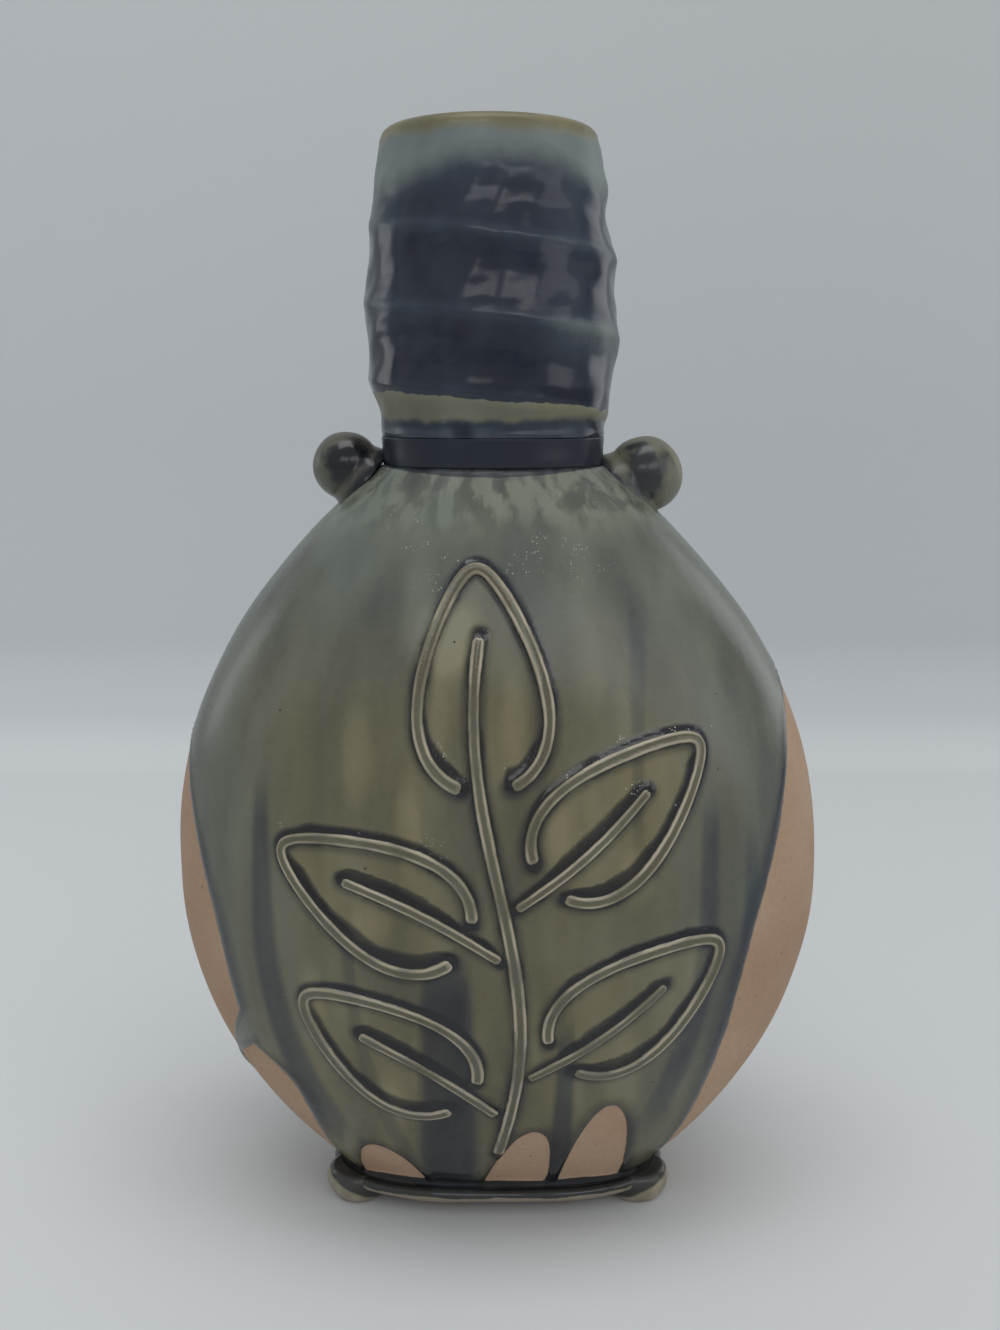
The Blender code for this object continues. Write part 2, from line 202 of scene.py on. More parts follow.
print("a soft step at 0, a quarter, a half and 1:", smooth_step(np.array([0.0, 0.25, 0.5, 1.0])))

# %% [markdown]
# ## Helpers for materials
# A material is a graph of nodes. The small class below adds a node, sets or links its inputs and
# hands back an output, so that a graph reads like a list of steps. Nodes could be laid out by hand in
# the editor, but written steps can be named, repeated and compared.


# %% Node graph
class Graph:
    """Adds nodes to a node tree. An input is a value, or another node's output to link."""

    def __init__(self, tree, shader=None):
        self.tree = tree
        self.shader = shader

    def put(self, socket, value):
        """Links an output, or sets a plain value."""
        if isinstance(value, bpy.types.NodeSocket):
            self.tree.links.new(value, socket)
        else:
            socket.default_value = value

    def node(self, kind, inputs=None, **settings):
        """A shader node of a kind, with its settings and its inputs by name or number."""
        made = self.tree.nodes.new(f"ShaderNode{kind}")
        for key, value in settings.items():
            setattr(made, key, value)
        for key, value in (inputs or {}).items():
            self.put(made.inputs[key], value)
        return made

    def step(self, operation, *values):
        """One step of arithmetic."""
        return self.node("Math", dict(enumerate(values)), operation=operation).outputs[0]

    def add(self, first, *others):
        """The sum of all the values."""
        for other in others:
            first = self.step("ADD", first, other)
        return first

    def times(self, a, b):
        """The product of two values."""
        return self.step("MULTIPLY", a, b)

    def rest_of(self, share):
        """What a share leaves of 1."""
        return self.step("SUBTRACT", 1.0, share)

    def swing(self, noise, amount):
        """A noise that goes about 0.5, made to go about 0, times an amount."""
        return self.times(self.step("SUBTRACT", noise, 0.5), amount)

    def clamped(self, value):
        """A value kept between 0 and 1."""
        return self.node("Clamp", {"Value": value}).outputs[0]

    def between(self, value, low, high, to_low=0.0, to_high=1.0):
        """An S curve from to_low to to_high while the value goes from low to high."""
        inputs = dict(enumerate((value, low, high, to_low, to_high)))
        return self.node("MapRange", inputs, interpolation_type="SMOOTHSTEP").outputs[0]

    def mix(self, share, a, b, blend="MIX"):
        """Colour a where the share is 0 and b where it is 1."""
        return self.node("Mix", {0: share, 6: a, 7: b}, data_type="RGBA", blend_type=blend).outputs[2]

    def ramp(self, value, stops):
        """A colour band: stops of place and colour."""
        made = self.node("ValToRGB", {0: value})
        band = made.color_ramp
        while len(band.elements) < len(stops):
            band.elements.new(0.5)
        for element, (place, colour) in zip(band.elements, stops):
            element.position = place
            element.color = (*colour, 1.0)
        return made.outputs[0]

    def place(self, stretch=(1.0, 1.0, 1.0)):
        """Object coordinates, stretched."""
        where = self.node("TexCoord").outputs["Object"]
        return self.node("Mapping", {"Vector": where, "Scale": stretch}).outputs[0]

    def along(self, axis):
        """One of the object coordinates, by the name of its axis."""
        return self.node("SeparateXYZ", {0: self.place()}).outputs[axis]

    def noise(self, scale, detail=3.0, roughness=0.55, stretch=(1.0, 1.0, 1.0)):
        """Soft noise from about 0.25 to 0.75."""
        where = self.place(stretch)
        inputs = {"Vector": where, "Scale": scale, "Detail": detail, "Roughness": roughness}
        return self.node("TexNoise", inputs).outputs[0]

    def read(self, name):
        """A value kept on the piece's points."""
        return self.node("Attribute", attribute_name=name).outputs["Fac"]

    def use(self, name, **inputs):
        """Places a shader group and sets its inputs."""
        made = self.node("Group", node_tree=bpy.data.node_groups[name])
        for key, value in inputs.items():
            self.put(made.inputs[key], value)
        return made.outputs

    def bump(self, height, distance, strength):
        """Normals tilted as if the surface had this height."""
        return self.node("Bump", {"Height": height, "Distance": distance, "Strength": strength}).outputs[0]

    def paint(self, **sockets):
        """Feeds the shader's sockets; underscores in the names stand for spaces."""
        for key, value in sockets.items():
            self.put(self.shader.inputs[key.replace("_", " ")], value)


print("a graph has", len([key for key in vars(Graph) if key[0] != "_"]), "kinds of step")

# %% [markdown]
# ## Groups and materials
# Two helpers start a graph: an empty group with named sockets, for what several finishes share, and a
# material with one Principled shader. A material's plain values stand on the shader's own sockets,
# where a reader looks for them first.


# %% New group, new material
def new_group(name, inputs, outputs):
    """An empty shader group with named float and colour sockets."""
    tree = bpy.data.node_groups.new(name, "ShaderNodeTree")
    for way, sockets in (("INPUT", inputs), ("OUTPUT", outputs)):
        for label, kind in sockets.items():
            tree.interface.new_socket(label, in_out=way, socket_type=f"NodeSocket{kind}")
    given, result = tree.nodes.new("NodeGroupInput"), tree.nodes.new("NodeGroupOutput")
    return Graph(tree), given.outputs, result.inputs


def new_material(name, **values):
    """A material with one Principled shader, whose plain values are set on its own sockets."""
    material = bpy.data.materials.new(name)
    material.use_nodes = True
    graph = Graph(material.node_tree, material.node_tree.nodes["Principled BSDF"])
    graph.paint(**values)
    return material, graph


print("shader groups so far:", len(bpy.data.node_groups))

# %% [markdown]
# ## The glaze
# The glaze is a reactive one: thin, it breaks to khaki; thicker, it turns blue-grey; where it runs
# together it goes almost black. So its colour is a function of two numbers, how thick it lies and how
# warm the clay under it shows. One group holds the two colour bands, the streaks of the runs and the
# fine mottling, and every glazed piece uses it with its own values.

# %% Glaze group
WARM_BAND = (
    (0.0, (0.235, 0.208, 0.118)),
    (0.30, (0.130, 0.117, 0.062)),
    (0.62, (0.050, 0.045, 0.032)),
    (1.0, (0.010, 0.009, 0.010)),
)
COOL_BAND = (
    (0.0, (0.165, 0.188, 0.155)),
    (0.30, (0.106, 0.121, 0.103)),
    (0.62, (0.038, 0.047, 0.055)),
    (1.0, (0.012, 0.015, 0.022)),
)
THIN_ROUGH, THICK_ROUGH = 0.32, 0.09
CLOUD_DEPTH, CLOUD_WARMTH = 0.35, 0.8

graph, given, result = new_group(
    "glaze",
    {"Thickness": "Float", "Warmth": "Float", "Streaks": "Float", "Mottle": "Float"},
    {"Color": "Color", "Roughness": "Float", "Height": "Float"},
)
streak = graph.swing(graph.noise(1.0, 2.5, 0.5, stretch=(80.0, 80.0, 5.0)), given["Streaks"])
mottle = graph.noise(420.0, 4.0, 0.65)
cloud = graph.noise(55.0, 2.0, 0.5, stretch=(1.0, 1.0, 0.45))
fine_part, wide_part = graph.swing(mottle, given["Mottle"]), graph.swing(cloud, CLOUD_DEPTH)
thick = graph.clamped(graph.add(given["Thickness"], streak, fine_part, wide_part))
warm = graph.clamped(graph.add(given["Warmth"], graph.swing(cloud, CLOUD_WARMTH)))
graph.put(result["Color"], graph.mix(warm, graph.ramp(thick, COOL_BAND), graph.ramp(thick, WARM_BAND)))
graph.put(result["Roughness"], graph.between(thick, 0.1, 0.9, THIN_ROUGH, THICK_ROUGH))
graph.put(result["Height"], graph.add(graph.times(mottle, 0.25), cloud))
print("glaze group:", len(graph.tree.nodes), "nodes")

# %% [markdown]
# ## The bare clay
# Where the glaze stops, the stoneware shows: warm tan, matt, with a fine grain of grog and a few dark
# iron specks. Two noises and a cell pattern give that without any picture.

# %% Clay group
CLAY_BAND = (
    (0.30, (0.385, 0.245, 0.158)),
    (0.55, (0.430, 0.288, 0.192)),
    (0.75, (0.460, 0.325, 0.226)),
)
GROG = (0.200, 0.150, 0.110, 1.0)
IRON = (0.075, 0.050, 0.038, 1.0)
# Brown that the clay group's Darkness mixes towards: painted shade for bare clay under the slab and the
# lumps.
CLAY_PAINTED_SHADE = (0.110, 0.085, 0.065, 1.0)
CLAY_ROUGH = 0.85

graph, given, result = new_group("clay", {"Darkness": "Float"}, {"Color": "Color", "Height": "Float"})
grain = graph.noise(900.0, 4.0, 0.7)
blush = graph.noise(32.0, 2.0, 0.5)
cells = graph.node("TexVoronoi", {"Vector": graph.place(), "Scale": 420.0})
speck = graph.between(cells.outputs["Distance"], 0.10, 0.16, 0.7, 0.0)
chosen = graph.between(graph.noise(260.0, 1.0), 0.60, 0.66)
colour = graph.mix(graph.between(grain, 0.35, 0.7, 0.0, 0.22), graph.ramp(blush, CLAY_BAND), GROG)
colour = graph.mix(graph.times(speck, chosen), colour, IRON)
graph.put(result["Color"], graph.mix(given["Darkness"], colour, CLAY_PAINTED_SHADE))
graph.put(result["Height"], grain)
print("clay group:", len(graph.tree.nodes), "nodes")

# %% [markdown]
# ## Specks in the glaze
# Two kinds of dots are scattered in the glaze: dark pinholes here and there, and clusters of tiny pale
# specks over the trailed lines and under the collar, painted glints of light that stand partly for
# crystals where the glaze has boiled. Both are cells of a Voronoi pattern, kept small by a limit on the
# distance from the cell's middle.

# %% Speck group
graph, given, result = new_group(
    "specks", {"Scale": "Float", "Size": "Float", "Share": "Float"}, {"Mask": "Float"}
)
cells = graph.node("TexVoronoi", {"Vector": graph.place(), "Scale": given["Scale"]})
inside = graph.step("LESS_THAN", cells.outputs["Distance"], given["Size"])
pick = graph.node("SeparateColor", {0: cells.outputs["Color"]}).outputs[0]
graph.put(result["Mask"], graph.times(inside, graph.step("LESS_THAN", pick, given["Share"])))
print("speck group:", len(graph.tree.nodes), "nodes")

# %% [markdown]
# ## Body: sections
# The body was built as a flattened flask: a squared oval at the foot that opens to the belly and draws
# in to a round mouth. Each level is a superellipse, |x/a|^n + |y/b|^n = 1, whose half sizes a and b
# follow one power curve up to the belly and another above it. A pulled and smoothed box could come
# near; these numbers are the ones that made the packed solid, so the form is the same.

# %% Body sections
BELLY_HEIGHT = 0.0841
BODY_WIDTH, BODY_DEPTH = 0.1706, 0.1090
FOOT_HALVES = (0.0425, 0.0245)
MOUTH_RADIUS = 0.0288
FOOT_FLARE, FOOT_FLARE_HEIGHT = 0.0022, 0.0032
RISE_POWER, FALL_POWER = 2.0, 2.3
FOOT_OVAL, BELLY_OVAL, ROUND = 2.8, 2.3, 2.0
RIM_LEAN = 0.0021

body_low, body_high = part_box("flask_body")
BODY_Z, BODY_TOP = body_low.z, body_high.z
BODY_HEIGHT = BODY_TOP - BODY_Z
BELLY_Z = BODY_Z + BELLY_HEIGHT
TOP_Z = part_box("neck")[1].z


def lean(z):
    """How far the axis has moved to the left: nothing up to the belly, then evenly to the rim."""
    return -RIM_LEAN * np.clip((z - BELLY_Z) / (TOP_Z - BELLY_Z), 0.0, 1.0)


def body_section(z):
    """Half width, half depth and oval power of the body's outside at each height."""
    h = np.clip(z - BODY_Z, 0.0, BODY_HEIGHT)
    rise = 1.0 - np.clip(1.0 - h / BELLY_HEIGHT, 0.0, 1.0) ** RISE_POWER
    up = np.clip((h - BELLY_HEIGHT) / (BODY_HEIGHT - BELLY_HEIGHT), 0.0, 1.0)
    flare = FOOT_FLARE * np.clip(1.0 - h / FOOT_FLARE_HEIGHT, 0.0, 1.0) ** 2
    halves = [
        foot + (belly / 2 - foot) * rise + (MOUTH_RADIUS - belly / 2) * up**FALL_POWER + flare
        for foot, belly in zip(FOOT_HALVES, (BODY_WIDTH, BODY_DEPTH))
    ]
    power = FOOT_OVAL + (BELLY_OVAL - FOOT_OVAL) * smooth_step(h / BELLY_HEIGHT)
    return halves[0], halves[1], power + (ROUND - BELLY_OVAL) * smooth_step(up)


def oval(wide, deep, power, angles, z, shift):
    """Superellipses, one row for each height: x = a cos^(2/n) and y = b sin^(2/n), signs kept."""
    parts = np.broadcast_arrays(wide, deep, power, z, shift)
    wide, deep, power, z, shift = (np.atleast_1d(part)[:, None] for part in parts)
    c, s = np.cos(angles)[None, :], np.sin(angles)[None, :]
    x = wide * np.sign(c) * np.abs(c) ** (2 / power) + shift
    y = deep * np.sign(s) * np.abs(s) ** (2 / power)
    return np.stack([x, y, z + 0 * x], axis=-1)


def front_y(x, z):
    """The front face's y at places x and z: the superellipse solved for y."""
    wide, deep, power = body_section(z)
    across = np.clip(np.abs(x - lean(z)) / wide, 0.0, 1.0)
    return -deep * (1 - across**power) ** (1 / power)


print("body:", [round(size / MM, 1) for size in (BODY_WIDTH, BODY_DEPTH, BODY_HEIGHT)], "mm")

# %% [markdown]
# ## Body: grid
# The front carries the fine drawing, so its columns stand closer than the back's. They are set by
# walking round the belly and counting a step on the back for less. Rows are spread evenly.

# %% Body grid
COLUMNS, ROWS = 440, 200
BACK_SHARE, BACK_FROM = 0.6, 0.012

fine = np.linspace(-math.pi / 2, 1.5 * math.pi, 4001)
belly_ring = oval(BODY_WIDTH / 2, BODY_DEPTH / 2, BELLY_OVAL, fine, BELLY_Z, 0.0)[0]
steps = np.linalg.norm(np.diff(belly_ring, axis=0), axis=1)
steps *= np.where(belly_ring[1:, 1] < BACK_FROM, 1.0, BACK_SHARE)
walked = np.concatenate([[0.0], np.cumsum(steps)])
ANGLES = np.interp(np.arange(COLUMNS) / COLUMNS * walked[-1], walked, fine)
heights = np.linspace(BODY_Z, BODY_TOP, ROWS)
outside = oval(*body_section(heights), ANGLES, heights, lean(heights))
X, Y, Z = np.moveaxis(outside, -1, 0) / MM
right, front = X > 0, Y < 0
print("body grid", outside.shape, "spacing", round(walked[-1] / COLUMNS / MM, 2), "mm round the front")

# %% [markdown]
# ## Sprig: the lines of slip
# The front carries a sprig drawn with a slip trailer: a swaying stem and five open leaves, each with a
# rib. A line is a path on the front face, given across and up; the stem sways as a sine, and a leaf is
# an ellipse that narrows to its tip. The body needs the paths first, because the glaze pools on them.

# %% Sprig paths
LINE_WIDTH, RIB_WIDTH, LINE_HEIGHT = 0.0034, 0.0028, 0.0011
STEM_FOOT, STEM_HEAD, STEM_SWAY, STEM_TURN = 0.08, 0.80, 0.065, math.radians(310)
# Where a leaf forks off, its length and width, as shares, and its angle from the stem in degrees.
LEAVES = {
    "top": (0.640, 0.340, 0.150, 0.0),
    "upper_left": (0.430, 0.325, 0.140, -53.0),
    "upper_right": (0.520, 0.320, 0.140, 57.0),
    "lower_left": (0.095, 0.320, 0.140, -55.0),
    "lower_right": (0.185, 0.320, 0.135, 57.0),
}
LOOK_AHEAD, STALK, TAPER, MOUTH = 0.36, 0.21, 0.42, math.radians(17)
RIB_REACH, RIB_BOW, RIB_START = 0.74, 0.06, 0.0023


def on_stem(share):
    """Across and up, at a share of the stem's height: x sways as a sine."""
    x = STEM_SWAY * BODY_WIDTH / 2 * np.sin(STEM_TURN * share)
    z = BODY_Z + BODY_HEIGHT * (STEM_FOOT + (STEM_HEAD - STEM_FOOT) * share)
    return np.stack(np.broadcast_arrays(x, z), axis=-1)


def leaf_frame(fork_share, degrees):
    """Where a leaf leaves the stem, and the directions along it and to its side."""
    fork = on_stem(fork_share)
    ahead = on_stem(min(fork_share + LOOK_AHEAD, 1.0)) - fork
    angle = math.atan2(ahead[0], ahead[1]) + math.radians(degrees)
    along = np.array([math.sin(angle), math.cos(angle)])
    return fork, along, along[::-1] * [1, -1]


def leaf_outline(fork_share, length_share, width_share, degrees):
    """An ellipse from stalk to tip, its half width times 1 + taper cos, open at its mouth."""
    fork, along, aside = leaf_frame(fork_share, degrees)
    length = length_share * BODY_HEIGHT
    around = np.linspace(MOUTH, math.tau - MOUTH, 120)
    far = STALK * length + length * (1 - STALK) * (1 - np.cos(around)) / 2
    half = width_share * BODY_HEIGHT / 2 * np.sin(around) * (1 + TAPER * np.cos(around))
    return fork + far[:, None] * along + half[:, None] * aside


def leaf_rib(fork_share, length_share, width_share, degrees):
    """A line along the leaf's middle that bows as a sine, from just beside the stem."""
    fork, along, aside = leaf_frame(fork_share, degrees)
    start = RIB_START / abs(math.sin(math.radians(degrees))) + RIB_WIDTH / 4
    share = np.linspace(0.0, 1.0, 40)
    far = start + (RIB_REACH * length_share * BODY_HEIGHT - start) * share
    bow = RIB_BOW * width_share * BODY_HEIGHT * np.sin(math.pi * share)
    return fork + far[:, None] * along + bow[:, None] * aside


lines = {"stem": (on_stem(np.linspace(0.0, 1.0, 90)), LINE_WIDTH)}
for place, shares in LEAVES.items():
    lines[f"leaf_{place}"] = (leaf_outline(*shares), LINE_WIDTH)
    if place != "top":
        lines[f"rib_{place}"] = (leaf_rib(*shares), RIB_WIDTH)
print(len(lines), "lines of slip")

# %% [markdown]
# ## Body: distance to the lines
# Glaze is a liquid in the kiln: it flows down, stops on each raised line and pools there. So the body
# has to know where its lines are. A map could be painted by hand; here each point measures its way to
# the nearest line and how straight above it it lies, because a distance in millimetres gives the
# shader a crisp edge on a coarse mesh.

# %% Distance to the lines
REACH = 0.009
END_POOL = 0.35


def to_lines(points, line_set):
    """Distance in mm from each point to the nearest line's edge, and how straight above it lies.

    Each point is dropped on every segment of a path: t = (p - a).d / d.d, kept between 0 and 1.
    """
    flat = points.reshape(-1, 3)
    across_up = flat[:, ::2]
    best, above = np.full(len(flat), REACH / MM), np.zeros(len(flat))
    for path, width in line_set:
        spots = np.stack([path[:, 0], front_y(path[:, 0], path[:, 1]), path[:, 1]], axis=1)
        low, high = path.min(axis=0) - REACH, path.max(axis=0) + REACH
        boxed = (across_up > low).all(axis=1) & (across_up < high).all(axis=1)
        near = np.flatnonzero(boxed & (flat[:, 1] < 0))
        start, step = spots[:-1], np.diff(spots, axis=0)
        t = ((flat[near, None, :] - start) * step).sum(axis=2) / (step**2).sum(axis=1)
        foot = start + np.clip(t, 0.0, 1.0)[..., None] * step
        gaps = np.linalg.norm(flat[near, None, :] - foot, axis=2)
        pick, rows = gaps.argmin(axis=1), np.arange(len(near))
        gap, hit = gaps[rows, pick], t[rows, pick]
        past_end = ((pick == 0) & (hit <= 0)) | ((pick == len(step) - 1) & (hit >= 1))
        rise = (flat[near, 2] - foot[rows, pick, 2]) / np.maximum(gap, 1e-9)
        rise *= np.where(past_end, END_POOL, 1.0)
        edge = (gap - width / 2) / MM
        closer = edge < best[near]
        best[near[closer]], above[near[closer]] = edge[closer], rise[closer]
    return best.reshape(points.shape[:2]), above.reshape(points.shape[:2])


gap_mm, above = to_lines(outside, lines.values())
print("share of the grid within 1 mm of a line:", round(float((gap_mm < 1.0).mean()), 3))

# %% [markdown]
# ## Body: pools
# A pool is widest straight above a line, and most of all inside a leaf, where the glaze can't run off.
# Its edge lies where its reach is longer than the way to the line. The fields are blurred a little on
# the grid, because the switch from one line to the next would show as a kink.

# %% Pools
POOL_REST, POOL_ABOVE, POOL_IN_LEAF, POOL_POWER = 0.10, 1.15, 2.1, 1.2
POOL_WOBBLE, POOL_LIMIT = 0.25, 6.0


def inside_loop(points, path):
    """1 where a front point lies within a closed path: an odd number of its edges cross to one side."""
    x, z = points[..., 0].ravel()[:, None], points[..., 2].ravel()[:, None]
    x1, z1 = path[:, 0], path[:, 1]
    x2, z2 = np.roll(x1, -1), np.roll(z1, -1)
    cross = x1 + (z - z1) * (x2 - x1) / np.where(z2 == z1, 1e-9, z2 - z1)
    odd = (((z1 > z) != (z2 > z)) & (x < cross)).sum(axis=1) % 2
    return (odd.reshape(points.shape[:2]) * (points[..., 1] < 0)).astype(float)


def blurred(field, times):
    """Each value averaged with its four neighbours on the grid, some times over."""
    for _ in range(times):
        tall = np.pad(field, ((1, 1), (0, 0)), mode="edge")
        field = (field + np.roll(field, 1, 1) + np.roll(field, -1, 1) + tall[2:] + tall[:-2]) / 5
    return field


above = blurred(above, 2)
in_leaf = blurred(sum(inside_loop(outside, lines[f"leaf_{place}"][0]) for place in LEAVES), 4)
pool_mm = POOL_REST + np.clip(above, 0.0, 1.0) ** POOL_POWER * (POOL_ABOVE + POOL_IN_LEAF * in_leaf)
pool_mm += POOL_WOBBLE * ripples(outside, 0.012, 7) - gap_mm
pool_mm = np.clip(pool_mm, -POOL_LIMIT, POOL_LIMIT)
print("share of the grid in a pool:", round(float((pool_mm > 0).mean()), 3))

# %% [markdown]
# ## Body: bare clay on the sides
# The potter kept the glaze off both sides. A mask could be a picture; here the edge is again a distance
# in millimetres, from an arc on each side. On the left a second patch reaches further to the front, and
# a strip of glaze crosses the clay.

# %% Bare clay
SIDE_MM, SIDE_FOOT, SIDE_ROUND, TOP_SLOPE = 46.0, 14.0, 2.3, 0.8
# The strip across the left clay: height and half width in mm, the share of the half depth at which
# that height holds, its climb per share, and how it spreads to the front from a share on.
STRIP_Z, STRIP_HALF, STRIP_AT, STRIP_CLIMB = 60.0, 1.4, 0.72, 60.0
STRIP_SPREAD, SPREAD_FROM, SPREAD_LIMIT = 24.0, 0.52, 0.3

ratio = np.abs(outside[..., 1]) / body_section(outside[..., 2])[1]


def side_patch(top, widest, reach, foot_reach):
    """Bare clay on a side, in mm: its edge, as a share of the half depth, is an arc with a round top."""
    up = np.clip((Z - widest) / (top - widest), 0.0, 1.0)
    down = np.clip((widest - Z) / (widest - SIDE_FOOT), 0.0, 1.0)
    edge = reach * np.sqrt(1 - up**SIDE_ROUND) - (reach - foot_reach) * down**2
    return np.minimum((edge - ratio) * SIDE_MM, (top - Z) * TOP_SLOPE)


front_side = np.where(right, side_patch(146.0, 48.0, 0.785, 0.66), side_patch(131.0, 60.0, 0.675, 0.58))
back_side = np.where(right, side_patch(146.0, 52.0, 0.74, 0.62), side_patch(131.0, 50.0, 0.75, 0.66))
low_left = np.minimum(side_patch(63.0, 40.0, 0.80, 0.66), (0.80 - ratio) * SIDE_MM)
off_strip = np.abs((Z - STRIP_Z) - (ratio - STRIP_AT) * STRIP_CLIMB) - STRIP_HALF
off_strip -= STRIP_SPREAD * np.clip(ratio - SPREAD_FROM, 0.0, SPREAD_LIMIT)
crossed = np.minimum(np.maximum(front_side, low_left), off_strip)
side_clay = np.where(front, np.where(right, front_side, crossed), back_side)
print("share of bare clay on the sides:", round(float((side_clay > 0).mean()), 3))

# %% [markdown]
# ## Body: arches at the foot
# Between the runs the glaze stopped short of the foot in round arches. Each one is an ellipse with a
# slant, worked out as a distance too, so that one threshold draws every edge of the clay. Below them a
# band of glaze goes round the foot, with a wavering top.

# %% Arches
BAND_TOP, BAND_WAVE = 10.6, 0.8
# Centre, foot, half width, height, all in mm, and slant.
FRONT_ARCHES = (
    (-26.0, 6.0, 8.6, 18.5, -0.32),
    (3.4, 6.0, 8.2, 25.5, 0.24),
    (23.6, 6.0, 8.4, 34.5, 0.15),
)
BACK_ARCHES = (
    (-22.0, 6.0, 10.0, 30.0, -0.20),
    (2.0, 6.0, 8.0, 17.0, 0.0),
    (27.0, 6.0, 9.0, 24.0, 0.2),
)


def arch(centre, foot, half, height, slant):
    """Bare clay in a round-topped arch, in mm: 1 - x^2 - z^2 over its own slope."""
    x = (X - centre - slant * (Z - foot)) / half
    z = (Z - foot) / height
    slope = 2 * np.sqrt((x / half) ** 2 + (z / height) ** 2) + 1e-6
    return np.clip((1 - x**2 - z**2) / slope, -40.0, 20.0)


def strongest(mark, front_rows, back_rows):
    """The largest of a kind of mark at each point, from rows of numbers for the front and the back."""
    sides = ([mark(*row) for row in rows] for rows in (front_rows, back_rows))
    return np.where(front, *(np.max(marks, axis=0) for marks in sides))


clay_mm = np.maximum(side_clay, strongest(arch, FRONT_ARCHES, BACK_ARCHES))
foot_edge = Z - BAND_TOP - BAND_WAVE * ripples(outside, 0.02, 5)
clay_mm = np.clip(np.minimum(clay_mm, foot_edge), -8.0, 8.0)
print("share of bare clay:", round(float((clay_mm > 0).mean()), 3))

# %% [markdown]
# ## Body: runs and thin places
# Between the pools the glaze gathers in dark runs and thins in pale ovals. Both are rows of numbers,
# one for each mark; the back gets the same ones mirrored and moved down, so
# that it looks thrown by the same hand. Everything else is left to the noise in the shader.

# %% Runs and thin places
# Centre, top, bottom, half width at the top and at the foot, all in mm, and strength.
RUNS = (
    (-12.5, 88.0, 6.0, 5.2, 7.4, 1.15),
    (-57.0, 130.0, 36.0, 1.6, 4.2, 0.62),
    (2.0, 158.0, 104.0, 10.0, 12.0, 0.16),
    (-25.0, 104.0, 52.0, 8.0, 9.0, 0.14),
    (-36.0, 100.0, 20.0, 1.2, 2.4, 0.36),
    (17.0, 74.0, 6.0, 1.6, 3.0, 0.75),
    (51.0, 126.0, 42.0, 1.8, 3.4, 0.42),
    (62.0, 118.0, 60.0, 1.4, 2.4, 0.35),
    (33.0, 172.0, 120.0, 2.4, 1.2, 0.30),
)
# Centre across and up, half width, half height, all in mm, and strength.
THIN = (
    (-12.0, 160.0, 9.0, 8.0, 1.2),
    (4.0, 141.0, 3.6, 13.0, 0.6),
    (-33.0, 133.0, 4.0, 12.0, 0.6),
    (-21.0, 116.0, 3.2, 11.0, 0.75),
    (21.0, 152.0, 4.6, 9.0, 0.45),
    (14.0, 116.0, 3.0, 8.0, 0.6),
    (33.0, 104.0, 4.2, 7.0, 0.7),
    (-30.0, 92.0, 5.0, 5.0, 0.6),
    (-45.0, 70.0, 3.0, 11.0, 0.75),
    (6.5, 62.0, 4.2, 15.0, 0.8),
    (31.0, 50.0, 4.6, 14.0, 0.6),
    (-27.0, 38.0, 4.0, 14.0, 0.75),
    (-38.0, 22.0, 2.4, 11.0, 0.9),
    (48.0, 78.0, 3.0, 14.0, 0.5),
)
RUNS_DROP, THIN_DROP = 8.0, 9.0
STRAIGHT_WITHIN, BENT_FROM = 12.0, 32.0


def dark_run(centre, top, bottom, half_top, half_foot, strength):
    """A run of thick glaze: a soft band that widens downwards, and at the sides follows the body."""
    share = np.clip((top - Z) / (top - bottom), 0.0, 1.0)
    half = half_top + (half_foot - half_top) * share
    level = outside[..., 2]
    narrowing = np.where(level < BELLY_Z, body_section(level)[0] / (BODY_WIDTH / 2), 1.0)
    bent = smooth_step((abs(centre) - STRAIGHT_WITHIN) / (BENT_FROM - STRAIGHT_WITHIN))
    x = centre * (1 + (narrowing - 1) * bent)
    across = 1 - smooth_step((np.abs(X - x) - 0.6 * half) / (0.8 * half))
    ends = smooth_step((top - Z) / 16.0) * smooth_step((Z - bottom + 20.0) / 24.0)
    return strength * across * ends


def thin_place(x, z, half_x, half_z, strength):
    """A thin place where the glaze ran off: a soft upright oval, exp(-(distance squared) ^ 2.2)."""
    distance = ((X - x) / half_x) ** 2 + ((Z - z) / half_z) ** 2
    return strength * np.exp(-(distance**2.2))


def mirrored(rows, drop):
    """The same marks for the back, left for right and moved down."""
    return [(-x, z - drop, *others) for x, z, *others in rows]


run_dark = strongest(dark_run, RUNS, mirrored(RUNS, RUNS_DROP))
thin = strongest(thin_place, THIN, mirrored(THIN, THIN_DROP))
print("darkest run:", round(float(run_dark.max()), 2), "thinnest place:", round(float(thin.max()), 2))

# %% [markdown]
# ## Body: warmth, pale places and glints
# The front's middle is warm khaki, the sides and the shoulder blue-grey. Glaze also hangs in a shallow
# arc from the collar. Pale specks sit above the high lines and in a belt on the shoulder: painted glints
# of light, which stand partly for crystals in the glaze. These four fields finish the map of the glaze.

# %% Warmth, pale places and glints
COOL_SIDE, WARM_FRONT, BACK_WARMTH = 0.14, 0.80, 0.55
WARM_MIDDLE, WARM_HALF, WARM_TOP = -7.0, 54.0, 172.0
SHOULDER_MM, COLLAR_MIDDLE, HANG, HANG_HALF = 176.0, -2.1, 1.9, 27.0
GLINTS_AND_CRYSTALS_FROM, GLINT_BELT = 100.0, 182.0

